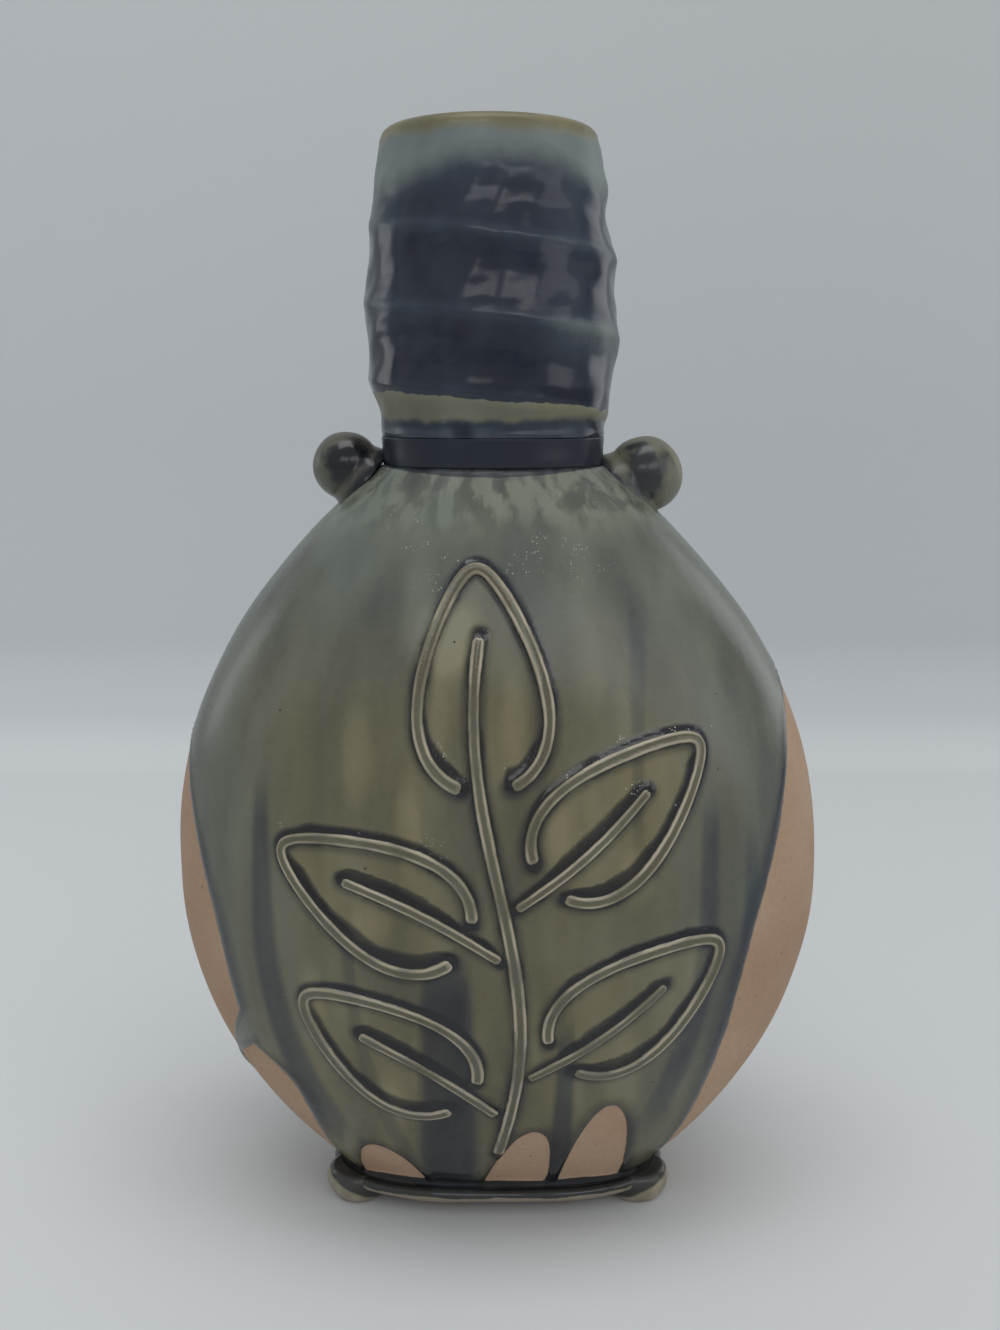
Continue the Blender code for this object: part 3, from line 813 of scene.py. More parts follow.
warm_middle = np.exp(-(((X - WARM_MIDDLE) / WARM_HALF) ** 4)) * smooth_step((WARM_TOP - Z) / 40.0)
warm_middle *= np.where(front, 1.0, BACK_WARMTH)
warmth = np.clip(COOL_SIDE + WARM_FRONT * warm_middle + 0.25 * in_leaf - 0.5 * run_dark, 0.0, 1.0)
pale = 0.4 * smooth_step((Z - SHOULDER_MM) / 14.0) + thin + 0.30 * in_leaf
hang = HANG * np.clip(1 - ((X - COLLAR_MIDDLE) / HANG_HALF) ** 2, 0.0, 1.0)
collar_mm = Z - (BODY_TOP / MM - hang)
# Painted glints of light above the high lines, standing partly for crystals in the glaze.
over_lines = smooth_step((above - 0.1) / 0.5) * smooth_step((5.5 - gap_mm) / 3.0)
over_lines *= smooth_step((Z - GLINTS_AND_CRYSTALS_FROM) / 30.0)
# A belt of painted glints on the shoulder: a painted highlight of the lamp overhead.
belt = 0.8 * bell(Z, GLINT_BELT, 9.0) * front * smooth_step((30.0 - np.abs(X)) / 8.0)
glints_and_crystals = np.maximum(over_lines, belt)
print("mean warmth", round(float(warmth.mean()), 2), "mean paleness", round(float(pale.mean()), 2))

# %% [markdown]
# ## Body: skin
# The fields also lift the surface: a coat of glaze a third of a millimetre thick, a roll along its
# edge, a fillet against each line, a little more in pools and runs, and nothing on the clay. Bump
# could fake this, but the coat's edge shows in profile, so it is in the mesh.

# %% Glaze coat
COAT, ROLL, FILLET = 0.32, 0.24, 0.42
RUN_LIFT, POOL_LIFT = 0.10, 0.14
ROLL_AT, FILLET_WIDTH = 1.3, 0.55
SHOULDER_RIPPLES_FROM = 181.0

depth_mm = -clay_mm
coat = COAT + RUN_LIFT * run_dark + POOL_LIFT * smooth_step((pool_mm + 0.5) / 2.0)
coat *= smooth_step((depth_mm + 0.3) / 1.1)
coat += ROLL * bell(depth_mm, ROLL_AT, 1.0) + FILLET * np.exp(-np.clip(gap_mm, 0.0, 9.0) / FILLET_WIDTH)
coat += 0.10 * ripples(outside, 0.028, 11)
fine_runs = ripples(outside * [1.0, 1.0, 0.12], 0.0062, 12)
coat += 0.17 * fine_runs * smooth_step((Z - SHOULDER_RIPPLES_FROM) / 9.0)
coat *= smooth_step((Z - BODY_Z / MM) / 3.0) * smooth_step((BODY_TOP / MM + 0.4 - Z) / 1.5)
glazed = lifted(outside, coat)
print("glaze coat up to", round(float(coat.max()), 2), "mm")

# %% [markdown]
# ## Body: inside
# The flask is hollow. Its inner wall is the outside moved in by the wall's thickness, square to the
# slope, as a potter's ribs leave it; a Solidify modifier would do the same but couldn't open the
# mouth to the bore of the neck. The floor closes in a point.

# %% Body inside
WALL = 0.0052
FLOOR_THICKNESS = 0.0065
COLLAR_RADIUS = 0.0286
BORE = COLLAR_RADIUS - WALL
MOUTH_FLAT = 0.0275


def inner_rings(lowest_z, count=14):
    """The inside wall: each ring is one wall thickness in from the outside, square to its slope."""
    z = np.linspace(BODY_TOP, BODY_Z, count + 2)
    step = WALL / 10
    wide, deep, power = body_section(z)
    above_it, below_it = body_section(z + step), body_section(z - step)
    slope = (above_it[0] - below_it[0] + above_it[1] - below_it[1]) / (4 * step)
    inward = WALL / np.hypot(1.0, slope)
    inner_z = z + inward * slope
    keep = (inner_z > lowest_z) & (inner_z < BODY_TOP - WALL / 2)
    wide, deep, power, inner_z = (v[keep] for v in (wide - inward, deep - inward, power, inner_z))
    return oval(wide, deep, power, ANGLES, inner_z, lean(inner_z))


floor_z = BODY_Z + FLOOR_THICKNESS
mouth_radii = [MOUTH_FLAT, BORE + MM, BORE]
mouth = oval(mouth_radii, mouth_radii, ROUND, ANGLES, [BODY_TOP, BODY_TOP, BODY_TOP - MM], lean(BODY_TOP))
walls = inner_rings(floor_z + WALL / 2)
floor = walls[-1][None] * [0.88, 0.80, 0.0] + [0.0, 0.0, floor_z]
under = outside[:1] * [0.96, 0.94, 1.0]
body_grid = np.concatenate([under, glazed, mouth, walls, floor])
inner_count = len(mouth) + len(walls) + len(floor)
print("body skin", body_grid.shape, "of which", inner_count, "rows inside")

# %% [markdown]
# ## Body: thickness of the glaze
# The shader turns the fields into paint. Wobbling each distance with a noise before its threshold keeps
# the edges alive. The thickness adds up what the runs, the pools, the rolled edge and the other marks
# bring. Each is a layer with a name, so that one can be made stronger without the others.

# %% Body thickness
BODY_THICKNESS = 0.30
# Heights between which the dark band at the foot goes out and the painted highlights and shade of the
# shoulder's drips come in.
FOOT_BAND, DRIP_LIGHT_BAND = (0.0099, 0.0126), (0.181, 0.193)

body_material, graph = new_material("body glaze and bare clay")
wobble = graph.noise(130.0, 3.0, 0.6)
height = graph.along("Z")
clay_edge = graph.add(graph.read("clay_mm"), graph.swing(wobble, 0.7))
pool_edge = graph.add(graph.read("pool_mm"), graph.swing(wobble, 2.2))
bare = graph.between(clay_edge, -0.18, 0.18)
hanging = graph.between(graph.read("collar_mm"), -0.2, 0.15)
# Streaks under the collar, paler and darker by turns: painted highlights and shade, as drips would catch
# the light.
drip_light_noise = graph.noise(1.0, 2.0, 0.5, stretch=(230.0, 230.0, 12.0))
drip_highlights_and_shade = graph.between(drip_light_noise, 0.40, 0.60, 0.16, -0.30)
layers = {
    "runs": graph.times(graph.read("run"), 0.50),
    # Darker glaze close beside each line: partly glaze gathered at its foot, partly a painted shadow of
    # the raised line.
    "painted shadow and meniscus beside the lines": graph.between(graph.read("gap_mm"), 0.0, 2.4, 0.26, 0.0),
    "pools": graph.between(pool_edge, -0.7, 0.9, 0.0, 0.60),
    "roll along the clay": graph.between(clay_edge, -3.4, -0.2, 0.0, 0.36),
    "band at the foot": graph.between(height, *FOOT_BAND, 0.45, 0.0),
    "pale places": graph.times(graph.read("pale"), -0.28),
    "painted highlights and shade on the shoulder drips": graph.times(drip_highlights_and_shade, graph.between(height, *DRIP_LIGHT_BAND)),
    "what hangs from the collar": graph.times(hanging, 0.75),
}
thickness = graph.add(BODY_THICKNESS, *layers.values())
print("thickness of the body's glaze:", ", ".join(layers))

# %% [markdown]
# ## Body: paint
# The glaze group makes the thickness a colour, and the clay group shows through where the glaze ends.
# Painted glints, which stand partly for crystals, and pinholes lie on top. The same masks drive the
# roughness and a bump, so that what looks like a speck also catches the light like one.

# %% Body paint
# Pale of the painted glints, which stand partly for crystals; dark of the glaze's own pinholes.
GLINT_AND_CRYSTAL_PALE = (0.52, 0.52, 0.48, 1.0)
PINHOLE_DARK = (0.010, 0.009, 0.008, 1.0)

coat_look = graph.use("glaze", Thickness=thickness, Warmth=graph.read("warmth"), Streaks=0.60, Mottle=0.12)
clay_look = graph.use("clay", Darkness=0.0)
# Pale specks where the glint field is high: painted glints of light, partly crystals.
dots = graph.use("specks", Scale=1500.0, Size=0.30, Share=0.45)["Mask"]
clusters = graph.between(graph.noise(190.0, 2.0), 0.55, 0.64)
dots = graph.times(dots, graph.times(clusters, graph.read("glints_and_crystals")))
holes = graph.use("specks", Scale=190.0, Size=0.055, Share=0.10)["Mask"]
painted = graph.mix(graph.times(dots, 0.85), coat_look["Color"], GLINT_AND_CRYSTAL_PALE)
painted = graph.mix(holes, painted, PINHOLE_DARK)
coat_rough = graph.add(coat_look["Roughness"], graph.times(hanging, 0.30))
relief = graph.add(
    graph.times(coat_look["Height"], graph.rest_of(bare)),
    graph.times(clay_look["Height"], graph.times(bare, 0.35)),
    graph.times(dots, 0.6),
)
graph.paint(
    Base_Color=graph.mix(bare, painted, clay_look["Color"]),
    Roughness=graph.between(bare, 0.0, 1.0, coat_rough, CLAY_ROUGH),
    Normal=graph.bump(relief, 0.00035, 0.5),
)
print("body material:", len(graph.tree.nodes), "nodes")

# %% [markdown]
# ## Body: the piece
# Skin and fields meet here. The fields were worked out for the outside; the underside and the inside
# get plain values of their own, glazed within and bare below.


# %% Body piece
def padded(values, below, inner):
    """Adds the rows of the underside and of the inside to a field of the outside."""
    under_row, inner_rows = np.full((1, COLUMNS), below), np.full((inner_count, COLUMNS), inner)
    return np.concatenate([under_row, values, inner_rows])


body_values = {
    "clay_mm": padded(clay_mm, 2.0, -8.0),
    "pool_mm": padded(pool_mm, -6.0, -6.0),
    "gap_mm": padded(gap_mm, 9.0, 9.0),
    "run": padded(run_dark, 0.0, 0.5),
    "warmth": padded(warmth, 0.5, 0.6),
    "pale": padded(pale, 0.0, 0.0),
    "glints_and_crystals": padded(glints_and_crystals, 0.0, 0.0),
    "collar_mm": padded(collar_mm, -9.0, -9.0),
}
add_surface("body_shell", body_grid, body_material, "flask_body", values=body_values)

# %% [markdown]
# ## Neck: form
# The neck was thrown apart: the potter's finger left a spiral of hollows with sharp crests between
# them, then a plain band under a thick round lip. The radius is base, swell and drawn-in rim on one
# curve, minus the spiral, |sin(phase / 2)|, whose phase turns with the height and round the axis.

# %% Neck form
NECK_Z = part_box("neck")[0].z
NECK_HEIGHT = TOP_Z - NECK_Z
NECK_BASE, NECK_SWELL, RIM_RADIUS, LIP = 0.0300, 0.0327, 0.0272, 0.0028
SWELL_SHARE, NECK_POWER = 0.40, 1.7
PITCH, GROOVE, GROOVE_START = 0.0190, 0.0013, math.radians(261)
CREST_SOFTNESS = 0.006
# The groove sets in over the first share of the height, and fades over the second up to the third.
GROOVE_IN, GROOVE_OUT, GROOVE_END = 0.10, 0.16, 0.86
NECK_TUCK, TUCK_SHARE = 0.0015, 0.20


def neck_radius(z):
    """The neck's outside over its crests: a quarter sine up to the swell, then a power curve in."""
    share = np.clip((z - NECK_Z) / (NECK_HEIGHT - LIP), 0.0, 1.0)
    rise = np.sin(math.pi / 2 * np.minimum(share / SWELL_SHARE, 1.0))
    fall = np.clip((share - SWELL_SHARE) / (1 - SWELL_SHARE), 0.0, 1.0) ** NECK_POWER
    tuck = NECK_TUCK * (1 - smooth_step(share / TUCK_SHARE))
    return NECK_BASE + (NECK_SWELL - NECK_BASE) * rise + (RIM_RADIUS - NECK_SWELL) * fall - tuck


def spiral(angles, z):
    """Depth of the finger groove, 0 on a crest and about 1 in a hollow, and how strong it is there."""
    phase = (z - NECK_Z) / PITCH * math.tau + angles + GROOVE_START
    share = (z - NECK_Z) / NECK_HEIGHT
    strength = smooth_step(share / GROOVE_IN) * smooth_step((GROOVE_END - share) / GROOVE_OUT)
    return np.sqrt(np.sin(phase / 2) ** 2 + CREST_SOFTNESS) - math.sqrt(CREST_SOFTNESS), strength


print("neck radii, mm:", np.round(neck_radius(np.linspace(NECK_Z, TOP_Z - LIP, 5)) / MM, 1))

# %% [markdown]
# ## Neck: grid
# On that form lie the marks of making: fine throwing lines, a beaded edge over the collar, and the
# unevenness of the hand, all in tenths of a millimetre. The grid runs up the outside, over the lip and
# down the bore, and joins itself there.

# %% Neck grid
NECK_COLUMNS, NECK_ROWS = 320, 240
LINE_DEPTH, LINE_PITCH = 0.012, 0.0031
BEAD, BEAD_RISE, BEAD_WIDTH = 0.35, 0.0009, 0.0007
CREST_WIDTH = 0.35

turn = once_round(NECK_COLUMNS, -math.pi / 2)
lip_z = TOP_Z - LIP
levels = np.linspace(NECK_Z, lip_z, NECK_ROWS)[:, None]
scallop, strength = spiral(turn, levels)
throwing = LINE_DEPTH * np.sin(math.tau * levels / LINE_PITCH + turn)
bead = BEAD * bell(levels, NECK_Z + BEAD_RISE, BEAD_WIDTH) * (0.55 + 0.45 * np.sin(5 * turn + 0.8))
radius = neck_radius(levels) - GROOVE * scallop * strength + (throwing + bead) * MM
across, deep = radius * np.cos(turn) + lean(levels), radius * np.sin(turn)
neck_wall = np.stack(np.broadcast_arrays(across, deep, levels), axis=-1)
hand = 0.16 * ripples(neck_wall, 0.016, 21) + 0.10 * ripples(neck_wall, 0.008, 22)
neck_wall = lifted(neck_wall, hand * smooth_step((levels - NECK_Z) / 0.004))
tilt = np.linspace(0.0, math.pi, 22)[1:]
lip_radius = RIM_RADIUS - LIP * (1 - np.cos(tilt))
lip_rows = oval(lip_radius, lip_radius, ROUND, turn, lip_z + LIP * np.sin(tilt), lean(lip_z))
inner_z = np.linspace(lip_z, NECK_Z, 26)[1:]
inner_radius = neck_radius(inner_z) - WALL - GROOVE / 2
inner_rows = oval(inner_radius, inner_radius, ROUND, turn, inner_z, lean(inner_z))
neck_grid = np.concatenate([neck_wall, lip_rows, inner_rows])
hidden = np.zeros((len(tilt) + len(inner_z), NECK_COLUMNS))
into_bore = smooth_step((tilt - 1.9) / 1.2)
neck_values = {
    "inside": np.concatenate([np.zeros(NECK_ROWS), into_bore, np.ones(len(inner_z))])[:, None],
    "crest": np.concatenate([(1 - smooth_step(scallop / CREST_WIDTH)) * strength, hidden]),
    "hollow": np.concatenate([scallop * strength, hidden]),
}
print("neck grid", neck_grid.shape, "hand's unevenness up to", round(float(np.abs(hand).max()), 2), "mm")

# %% [markdown]
# ## Neck: finish
# From the top: the glaze has run off the lip and left it khaki, a grey veil follows, then the thick
# dark blue-grey of the spiral, an olive band with a crisp wavy top that slants with the spiral, and a
# grey strip over the collar. The bands are ramps over the height, wobbled by noise.

# %% Neck bands
OLIVE_EDGE, OLIVE_SOFT, OLIVE_SLANT = 0.2147, 0.0002, -0.082
# Between which heights each band comes in or goes out.
STRIP_BAND, OLIVE_FOOT, LOW_NAVY = (0.2075, 0.2105), (0.2085, 0.2110), (0.215, 0.240)
THIRD_FOOT, THIRD_HEAD = (0.2150, 0.2190), (0.2325, 0.2360)
SIDE_SHEEN, TOP_HAZE = (0.219, 0.234), (0.253, 0.268)
VEIL_BAND, LIP_BAND = (0.2655, 0.2762), (0.2755, 0.2790)

neck_material, graph = new_material("neck glaze", Specular_IOR_Level=0.36)
across = graph.along("X")
wobble = graph.noise(90.0, 3.0, 0.6, stretch=(1.0, 1.0, 0.4))
height = graph.add(graph.along("Z"), graph.swing(wobble, 0.004))
slanted = graph.add(height, graph.times(across, -OLIVE_SLANT))
olive = graph.between(slanted, OLIVE_EDGE - OLIVE_SOFT, OLIVE_EDGE + OLIVE_SOFT, 1.0, 0.0)
olive = graph.times(olive, graph.between(height, *OLIVE_FOOT))
lip_part = graph.between(height, *LIP_BAND)
left_rise = graph.between(across, -0.022, -0.004, 0.0050, 0.0)
right_rise = graph.between(across, 0.010, 0.026, 0.0, 0.0035)
veil = graph.between(graph.add(height, left_rise, right_rise), *VEIL_BAND, 0.0, -0.68)
patches = graph.between(graph.noise(75.0, 1.0, stretch=(1.0, 1.0, 0.5)), 0.40, 0.52, 0.0, -0.44)
strip = graph.times(graph.between(height, *STRIP_BAND, 1.0, 0.0), patches)
milky = graph.between(graph.noise(42.0, 2.0, 0.5), 0.50, 0.70, 0.0, -0.14)
# A paler patch on the right of the spiral's third turn: a painted sheen of a wide window, partly milky
# glaze.
sheen_and_milk_on_third_turn = graph.times(graph.between(height, *THIRD_FOOT), graph.between(height, *THIRD_HEAD, 1.0, 0.0))
sheen_and_milk_on_third_turn = graph.times(sheen_and_milk_on_third_turn, graph.between(across, 0.002, 0.022, 0.0, -0.34))
# The neck's sides are painted paler, a painted sheen as glaze shows at a grazing angle; a band high on the
# neck is paler too.
off_middle = graph.step("ABSOLUTE", graph.add(across, 0.0035))
side_sheen_and_high_band = graph.between(off_middle, 0.011, 0.027, 0.0, -0.20)
side_sheen_and_high_band = graph.times(side_sheen_and_high_band, graph.between(height, *SIDE_SHEEN))
side_sheen_and_high_band = graph.add(side_sheen_and_high_band, graph.between(height, *TOP_HAZE, 0.0, -0.16))
print("bands of the neck:", len(graph.tree.nodes), "nodes")

# %% [markdown]
# ## Neck: paint
# The bands add up to one thickness, as on the body, and the olive band, the lip and the bore to one
# warmth. The dark part is a little bluer than the body's glaze. Another group could hold that blue; a
# tint over the same glaze keeps the two related.

# %% Neck paint
NECK_THICKNESS = 0.87
BLUE_TINT = (0.94, 1.00, 1.20, 1.0)

layers = {
    "veil under the lip": veil,
    "hollows": graph.times(graph.read("hollow"), 0.08),
    "crests": graph.times(graph.read("crest"), -0.16),
    "olive band": graph.times(olive, -0.86),
    "low navy": graph.between(height, *LOW_NAVY, 0.12, 0.0),
    "strip over the collar": strip,
    "milky patches": milky,
    # Painted sheen on the right of the third turn, partly milky glaze.
    "painted sheen and milky glaze on the third turn, right": sheen_and_milk_on_third_turn,
    # Painted sheen at the sides of the neck and a paler band high on it, kept off the lip.
    "side_sheen_and_high_band": graph.times(side_sheen_and_high_band, graph.rest_of(lip_part)),
}
thickness = graph.add(NECK_THICKNESS, *layers.values())
print("thickness of the neck's glaze:", ", ".join(layers))
warm_bore = graph.times(graph.read("inside"), 0.6)
warmth = graph.clamped(graph.add(graph.times(olive, 0.52), graph.times(lip_part, 0.9), warm_bore))
coat_look = graph.use("glaze", Thickness=thickness, Warmth=warmth, Streaks=0.35, Mottle=0.14)
blue_share = graph.rest_of(graph.step("MAXIMUM", olive, lip_part))
graph.paint(
    Base_Color=graph.mix(blue_share, coat_look["Color"], BLUE_TINT, "MULTIPLY"),
    Roughness=graph.add(coat_look["Roughness"], 0.07),
    Normal=graph.bump(coat_look["Height"], 0.0003, 0.4),
)
add_surface("neck_thrown", neck_grid, neck_material, "neck", ring=True, values=neck_values)

# %% [markdown]
# ## Collar
# The neck was luted to the shoulder with a band of clay that took the thickest, darkest glaze. It is a
# hollow ring: its outside is drawn in a little between two rounded edges. It laps the seams above and
# below by a fifth of a millimetre.

# %% Collar
COLLAR_HOLLOW, COLLAR_TUCK, COLLAR_LAP = 0.0002, 0.0005, 0.0002
COLLAR_TINT = (1.05, 1.18, 1.26, 1.0)

collar_low, collar_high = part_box("neck_collar")
share = np.linspace(0.0, 1.0, 25)
collar_radius = MOUTH_RADIUS - COLLAR_HOLLOW * np.sin(math.pi * share) - COLLAR_TUCK * (1 - share) ** 6
collar_z = collar_low.z - COLLAR_LAP + (collar_high.z - collar_low.z + 2 * COLLAR_LAP) * share
ring_out = oval(collar_radius, collar_radius, ROUND, turn, collar_z, lean(collar_z))
ring_in = oval(BORE, BORE, ROUND, turn, collar_z[[-1, 0]], lean(collar_high.z))
collar_material, graph = new_material("collar glaze", Specular_IOR_Level=0.36)
coat_look = graph.use("glaze", Thickness=1.0, Warmth=0.0, Streaks=0.10, Mottle=0.05)
graph.paint(
    Base_Color=graph.mix(1.0, coat_look["Color"], COLLAR_TINT, "MULTIPLY"),
    Roughness=graph.add(coat_look["Roughness"], 0.22),
)
collar_grid = np.concatenate([ring_out, ring_in])
add_surface("collar_band", collar_grid, collar_material, "neck_collar", ring=True)

# %% [markdown]
# ## Lugs: finish
# The lugs were dipped, so the glaze is thick and dark in the middle and breaks to khaki over the round.
# The dark patch is a distance from a point on the ball, wobbled by noise, and glaze also gathers in the
# crevice round the skirt.

# %% Lug material
lug_material, graph = new_material("lug glaze", Specular_IOR_Level=0.42)
middle = graph.add(graph.read("from_middle"), graph.swing(graph.noise(140.0, 2.0, 0.5), 1.3))
thickness = graph.add(
    graph.read("coat"),
    graph.between(middle, 0.38, 0.82, 0.62, 0.0),
    graph.times(graph.read("crevice"), 0.8),
)
coat_look = graph.use("glaze", Thickness=thickness, Warmth=0.45, Streaks=0.3, Mottle=0.14)
graph.paint(
    Base_Color=coat_look["Color"],
    Roughness=graph.add(coat_look["Roughness"], 0.09),
    Normal=graph.bump(coat_look["Height"], 0.0003, 0.4),
)
print("lug material:", len(graph.tree.nodes), "nodes")

# %% [markdown]
# ## Lugs: form
# Each lug is a ball of clay rolled in the palm and pressed into the corner of shoulder and neck, where
# its skirt spreads. Its form is the packed solid's, seen as a ball on a tilted base: rings round the
# tilted axis, with a smooth neck between skirt and ball.

# %% Lugs
LUG_TILT = math.radians(37)
BALL_ROWS, BALL_COLUMNS = 90, 96
# Side, radius of the ball, drop below the collar's top, and how thick the glaze lies.
LUGS = {"left": (-1.0, 0.0088, 0.0019, 0.42), "right": (1.0, 0.0099, 0.0034, 0.20)}
# The skirt's reach and sink and the ball's rise, in ball radii, and where on the way the ball starts.
SKIRT_REACH, SKIRT_SINK, BALL_RISE, BALL_FROM = 1.14, 0.30, 0.50, 0.30
BALL_START = math.radians(-14)
PATCH_OUT, PATCH_ASIDE, PATCH_UP = 0.55, -0.10, 0.14
CREVICE = 0.20

t = np.linspace(0.0, 1.0, BALL_ROWS)[:, None]
on_ball, skirt_share = t > BALL_FROM, t / BALL_FROM
tilt = BALL_START + (math.pi / 2 - BALL_START) * np.clip((t - BALL_FROM) / (1 - BALL_FROM), 0.0, 1.0)
skirt_reach = SKIRT_REACH - (SKIRT_REACH - math.cos(BALL_START)) * smooth_step(skirt_share)
skirt_lift = -SKIRT_SINK + (BALL_RISE + math.sin(BALL_START) + SKIRT_SINK) * skirt_share
reach = np.where(on_ball, np.cos(tilt), skirt_reach)[..., None]
lift = np.where(on_ball, BALL_RISE + np.sin(tilt), skirt_lift)[..., None]
ring_turn = once_round(BALL_COLUMNS)[None, :, None]
crevice = 1 - smooth_step(t / CREVICE)
for place, (side, ball, drop, coat_there) in LUGS.items():
    out = np.array([side * math.cos(LUG_TILT), 0.0, math.sin(LUG_TILT)])
    down = np.array([side * math.sin(LUG_TILT), 0.0, -math.cos(LUG_TILT)])
    touch = np.array([side * COLLAR_RADIUS + lean(collar_low.z), 0.0, collar_high.z - drop])
    seat = touch + down * ball * SKIRT_REACH
    ring = np.cos(ring_turn) * down + np.sin(ring_turn) * [0.0, side, 0.0]
    lug = seat + ball * (reach * ring + lift * out)
    lug = lifted(lug, 0.12 * ripples(lug, 0.012, 31))
    patch = seat + ball * (PATCH_OUT * out + [side * PATCH_ASIDE, 0.0, PATCH_UP])
    from_middle = np.linalg.norm((lug - patch)[..., ::2], axis=-1) / ball
    lug_values = {"from_middle": from_middle, "crevice": crevice, "coat": coat_there}
    add_surface(f"lug_ball_{place}", lug, lug_material, f"lug_{place}", values=lug_values)

# %% [markdown]
# ## Foot slab
# A thin slab with a rounded edge carries the body. Glaze is dark on it and breaks pale along its edge,
# most of all at the front's middle; its underside is bare, where it would have stuck to the kiln
# shelf. The edge is a half circle carried round an oval.

# %% Foot slab
SLAB_COLUMNS = 300
SLAB_THICKNESS = 0.82
EDGE_PALE = (0.265, 0.225, 0.180, 1.0)

slab_low, slab_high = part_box("foot_slab")
slab_half = (slab_high.x - slab_low.x) / 2, (slab_high.y - slab_low.y) / 2
edge = (slab_high.z - slab_low.z) / 2
tilt = np.linspace(-math.pi / 2, math.pi / 2, 25)
inset = edge * (1 - np.cos(tilt))
slab_z = slab_low.z + edge * (1 + np.sin(tilt))
slab_turn = once_round(SLAB_COLUMNS, -math.pi / 2)
slab = oval(slab_half[0] - inset, slab_half[1] - inset, FOOT_OVAL, slab_turn, slab_z, 0.0)
slab = lifted(slab, 0.14 * ripples(slab, 0.02, 41))
slab_material, graph = new_material("foot slab glaze")
brink = graph.add(graph.read("brink"), graph.swing(graph.noise(120.0, 3.0), 1.4))
thickness = graph.between(brink, 0.45, 0.70, SLAB_THICKNESS, 0.0)
coat_look = graph.use("glaze", Thickness=thickness, Warmth=0.65, Streaks=0.1, Mottle=0.2)
# The bare underside is darkened towards brown: painted shade under the slab.
clay_look = graph.use("clay", Darkness=0.45)
bare = graph.between(graph.along("Z"), slab_low.z + 0.0003, slab_low.z + 0.0009, 1.0, 0.0)
off_middle = graph.step("ABSOLUTE", graph.along("X"))
edge_line = graph.times(
    graph.between(brink, 0.45, 0.72), graph.between(off_middle, 0.031, 0.038, 0.80, 0.12)
)
painted = graph.mix(edge_line, coat_look["Color"], EDGE_PALE)
graph.paint(
    Base_Color=graph.mix(bare, painted, clay_look["Color"]),
    Roughness=graph.between(bare, 0.0, 1.0, coat_look["Roughness"], CLAY_ROUGH),
)
slab_values = {"brink": bell(tilt, -0.35, 0.5)[:, None]}
add_surface("foot_tile", slab, slab_material, "foot_slab", values=slab_values)

# %% [markdown]
# ## Foot lumps: finish
# Under each corner sits a lump of clay. Dark glaze ran over its inner side from the slab, its outer
# side stayed a pale khaki crescent, and it is bare where it stands. The border between the two is a
# level that dips towards the outside.

# %% Foot lump material
KHAKI_PALE = (0.375, 0.325, 0.250, 1.0)
INWARD_DIP = 0.0042

pad_material, graph = new_material("pad glaze")
level = graph.add(graph.along("Z"), graph.swing(graph.noise(160.0, 2.0), 0.0012))
bare = graph.between(level, 0.0007, 0.0010, 1.0, 0.0)
dip = graph.times(graph.add(graph.read("inward"), 1.0), INWARD_DIP)
covered = graph.between(graph.add(level, dip), 0.0074, 0.0086)
thickness = graph.add(graph.times(covered, 0.62), 0.04)
coat_look = graph.use("glaze", Thickness=thickness, Warmth=0.6, Streaks=0.2, Mottle=0.2)
# The bare clay where a lump stands is darkened: painted shade under it.
clay_look = graph.use("clay", Darkness=0.3)
broken = graph.between(graph.noise(190.0, 3.0), 0.35, 0.65, 0.25, 0.90)
painted = graph.mix(graph.times(broken, graph.rest_of(covered)), coat_look["Color"], KHAKI_PALE)
coat_rough = graph.between(covered, 0.0, 1.0, 0.34, 0.26)
graph.paint(
    Base_Color=graph.mix(bare, painted, clay_look["Color"]),
    Roughness=graph.between(bare, 0.0, 1.0, coat_rough, CLAY_ROUGH),
)
print("lump material:", len(graph.tree.nodes), "nodes")

# %% [markdown]
# ## Foot lumps: form
# A lump is a ball pressed between slab and shelf, so it is widest low down, flat below, and closes
# round the slab's edge above. Its reach falls off as 1 - cos of the tilt, slower above than below.

# %% Foot lumps
PAD_RISE, PAD_TUCK, PAD_BELLY = 0.0003, 0.0007, 0.62
ROUNDING_BELOW, ROUNDING_ABOVE = 1.15, 0.70
FLAT_TILT = math.radians(65)

tilt = np.linspace(-math.pi / 2, math.pi / 2, 29)
rounding = np.where(tilt < 0, ROUNDING_BELOW, ROUNDING_ABOVE) * (1 - np.cos(tilt)) / 2
lift = np.clip(np.sin(tilt) / math.sin(FLAT_TILT), -1.0, 1.0)
rise_share = PAD_BELLY + np.where(lift < 0, PAD_BELLY, 1 - PAD_BELLY) * lift
for place in ("front_left", "front_right", "back_left", "back_right"):
    low, high = (np.array(corner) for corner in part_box(f"pad_{place}"))
    centre, half, tall = (low + high) / 2, (high[0] - low[0]) / 2, slab_high.z + PAD_RISE - low[2]
    reach = half - PAD_TUCK - tall * rounding
    pad = oval(reach, reach, ROUND, once_round(BALL_COLUMNS), low[2] + tall * rise_share, 0.0)
    pad += [centre[0], centre[1], 0.0]
    pad = lifted(pad, 0.14 * ripples(pad, 0.011, 51) * smooth_step((pad[..., 2] - low[2]) / 0.0012))
    inward = (centre[0] - pad[..., 0]) * np.sign(centre[0]) / half
    pad_values = {"inward": inward}
    add_surface(f"foot_ball_{place}", pad, pad_material, f"pad_{place}", values=pad_values)

# %% [markdown]
# ## Sprig: finish of the lines
# The glaze slides off both edges of a line's crown and breaks pale there, and stays dark in the hollow
# and at the foot. How far a point lies across its line is kept on it, so the pale edges follow every
# bend.

# %% Line material
SLIP_PALE = (0.450, 0.395, 0.295, 1.0)

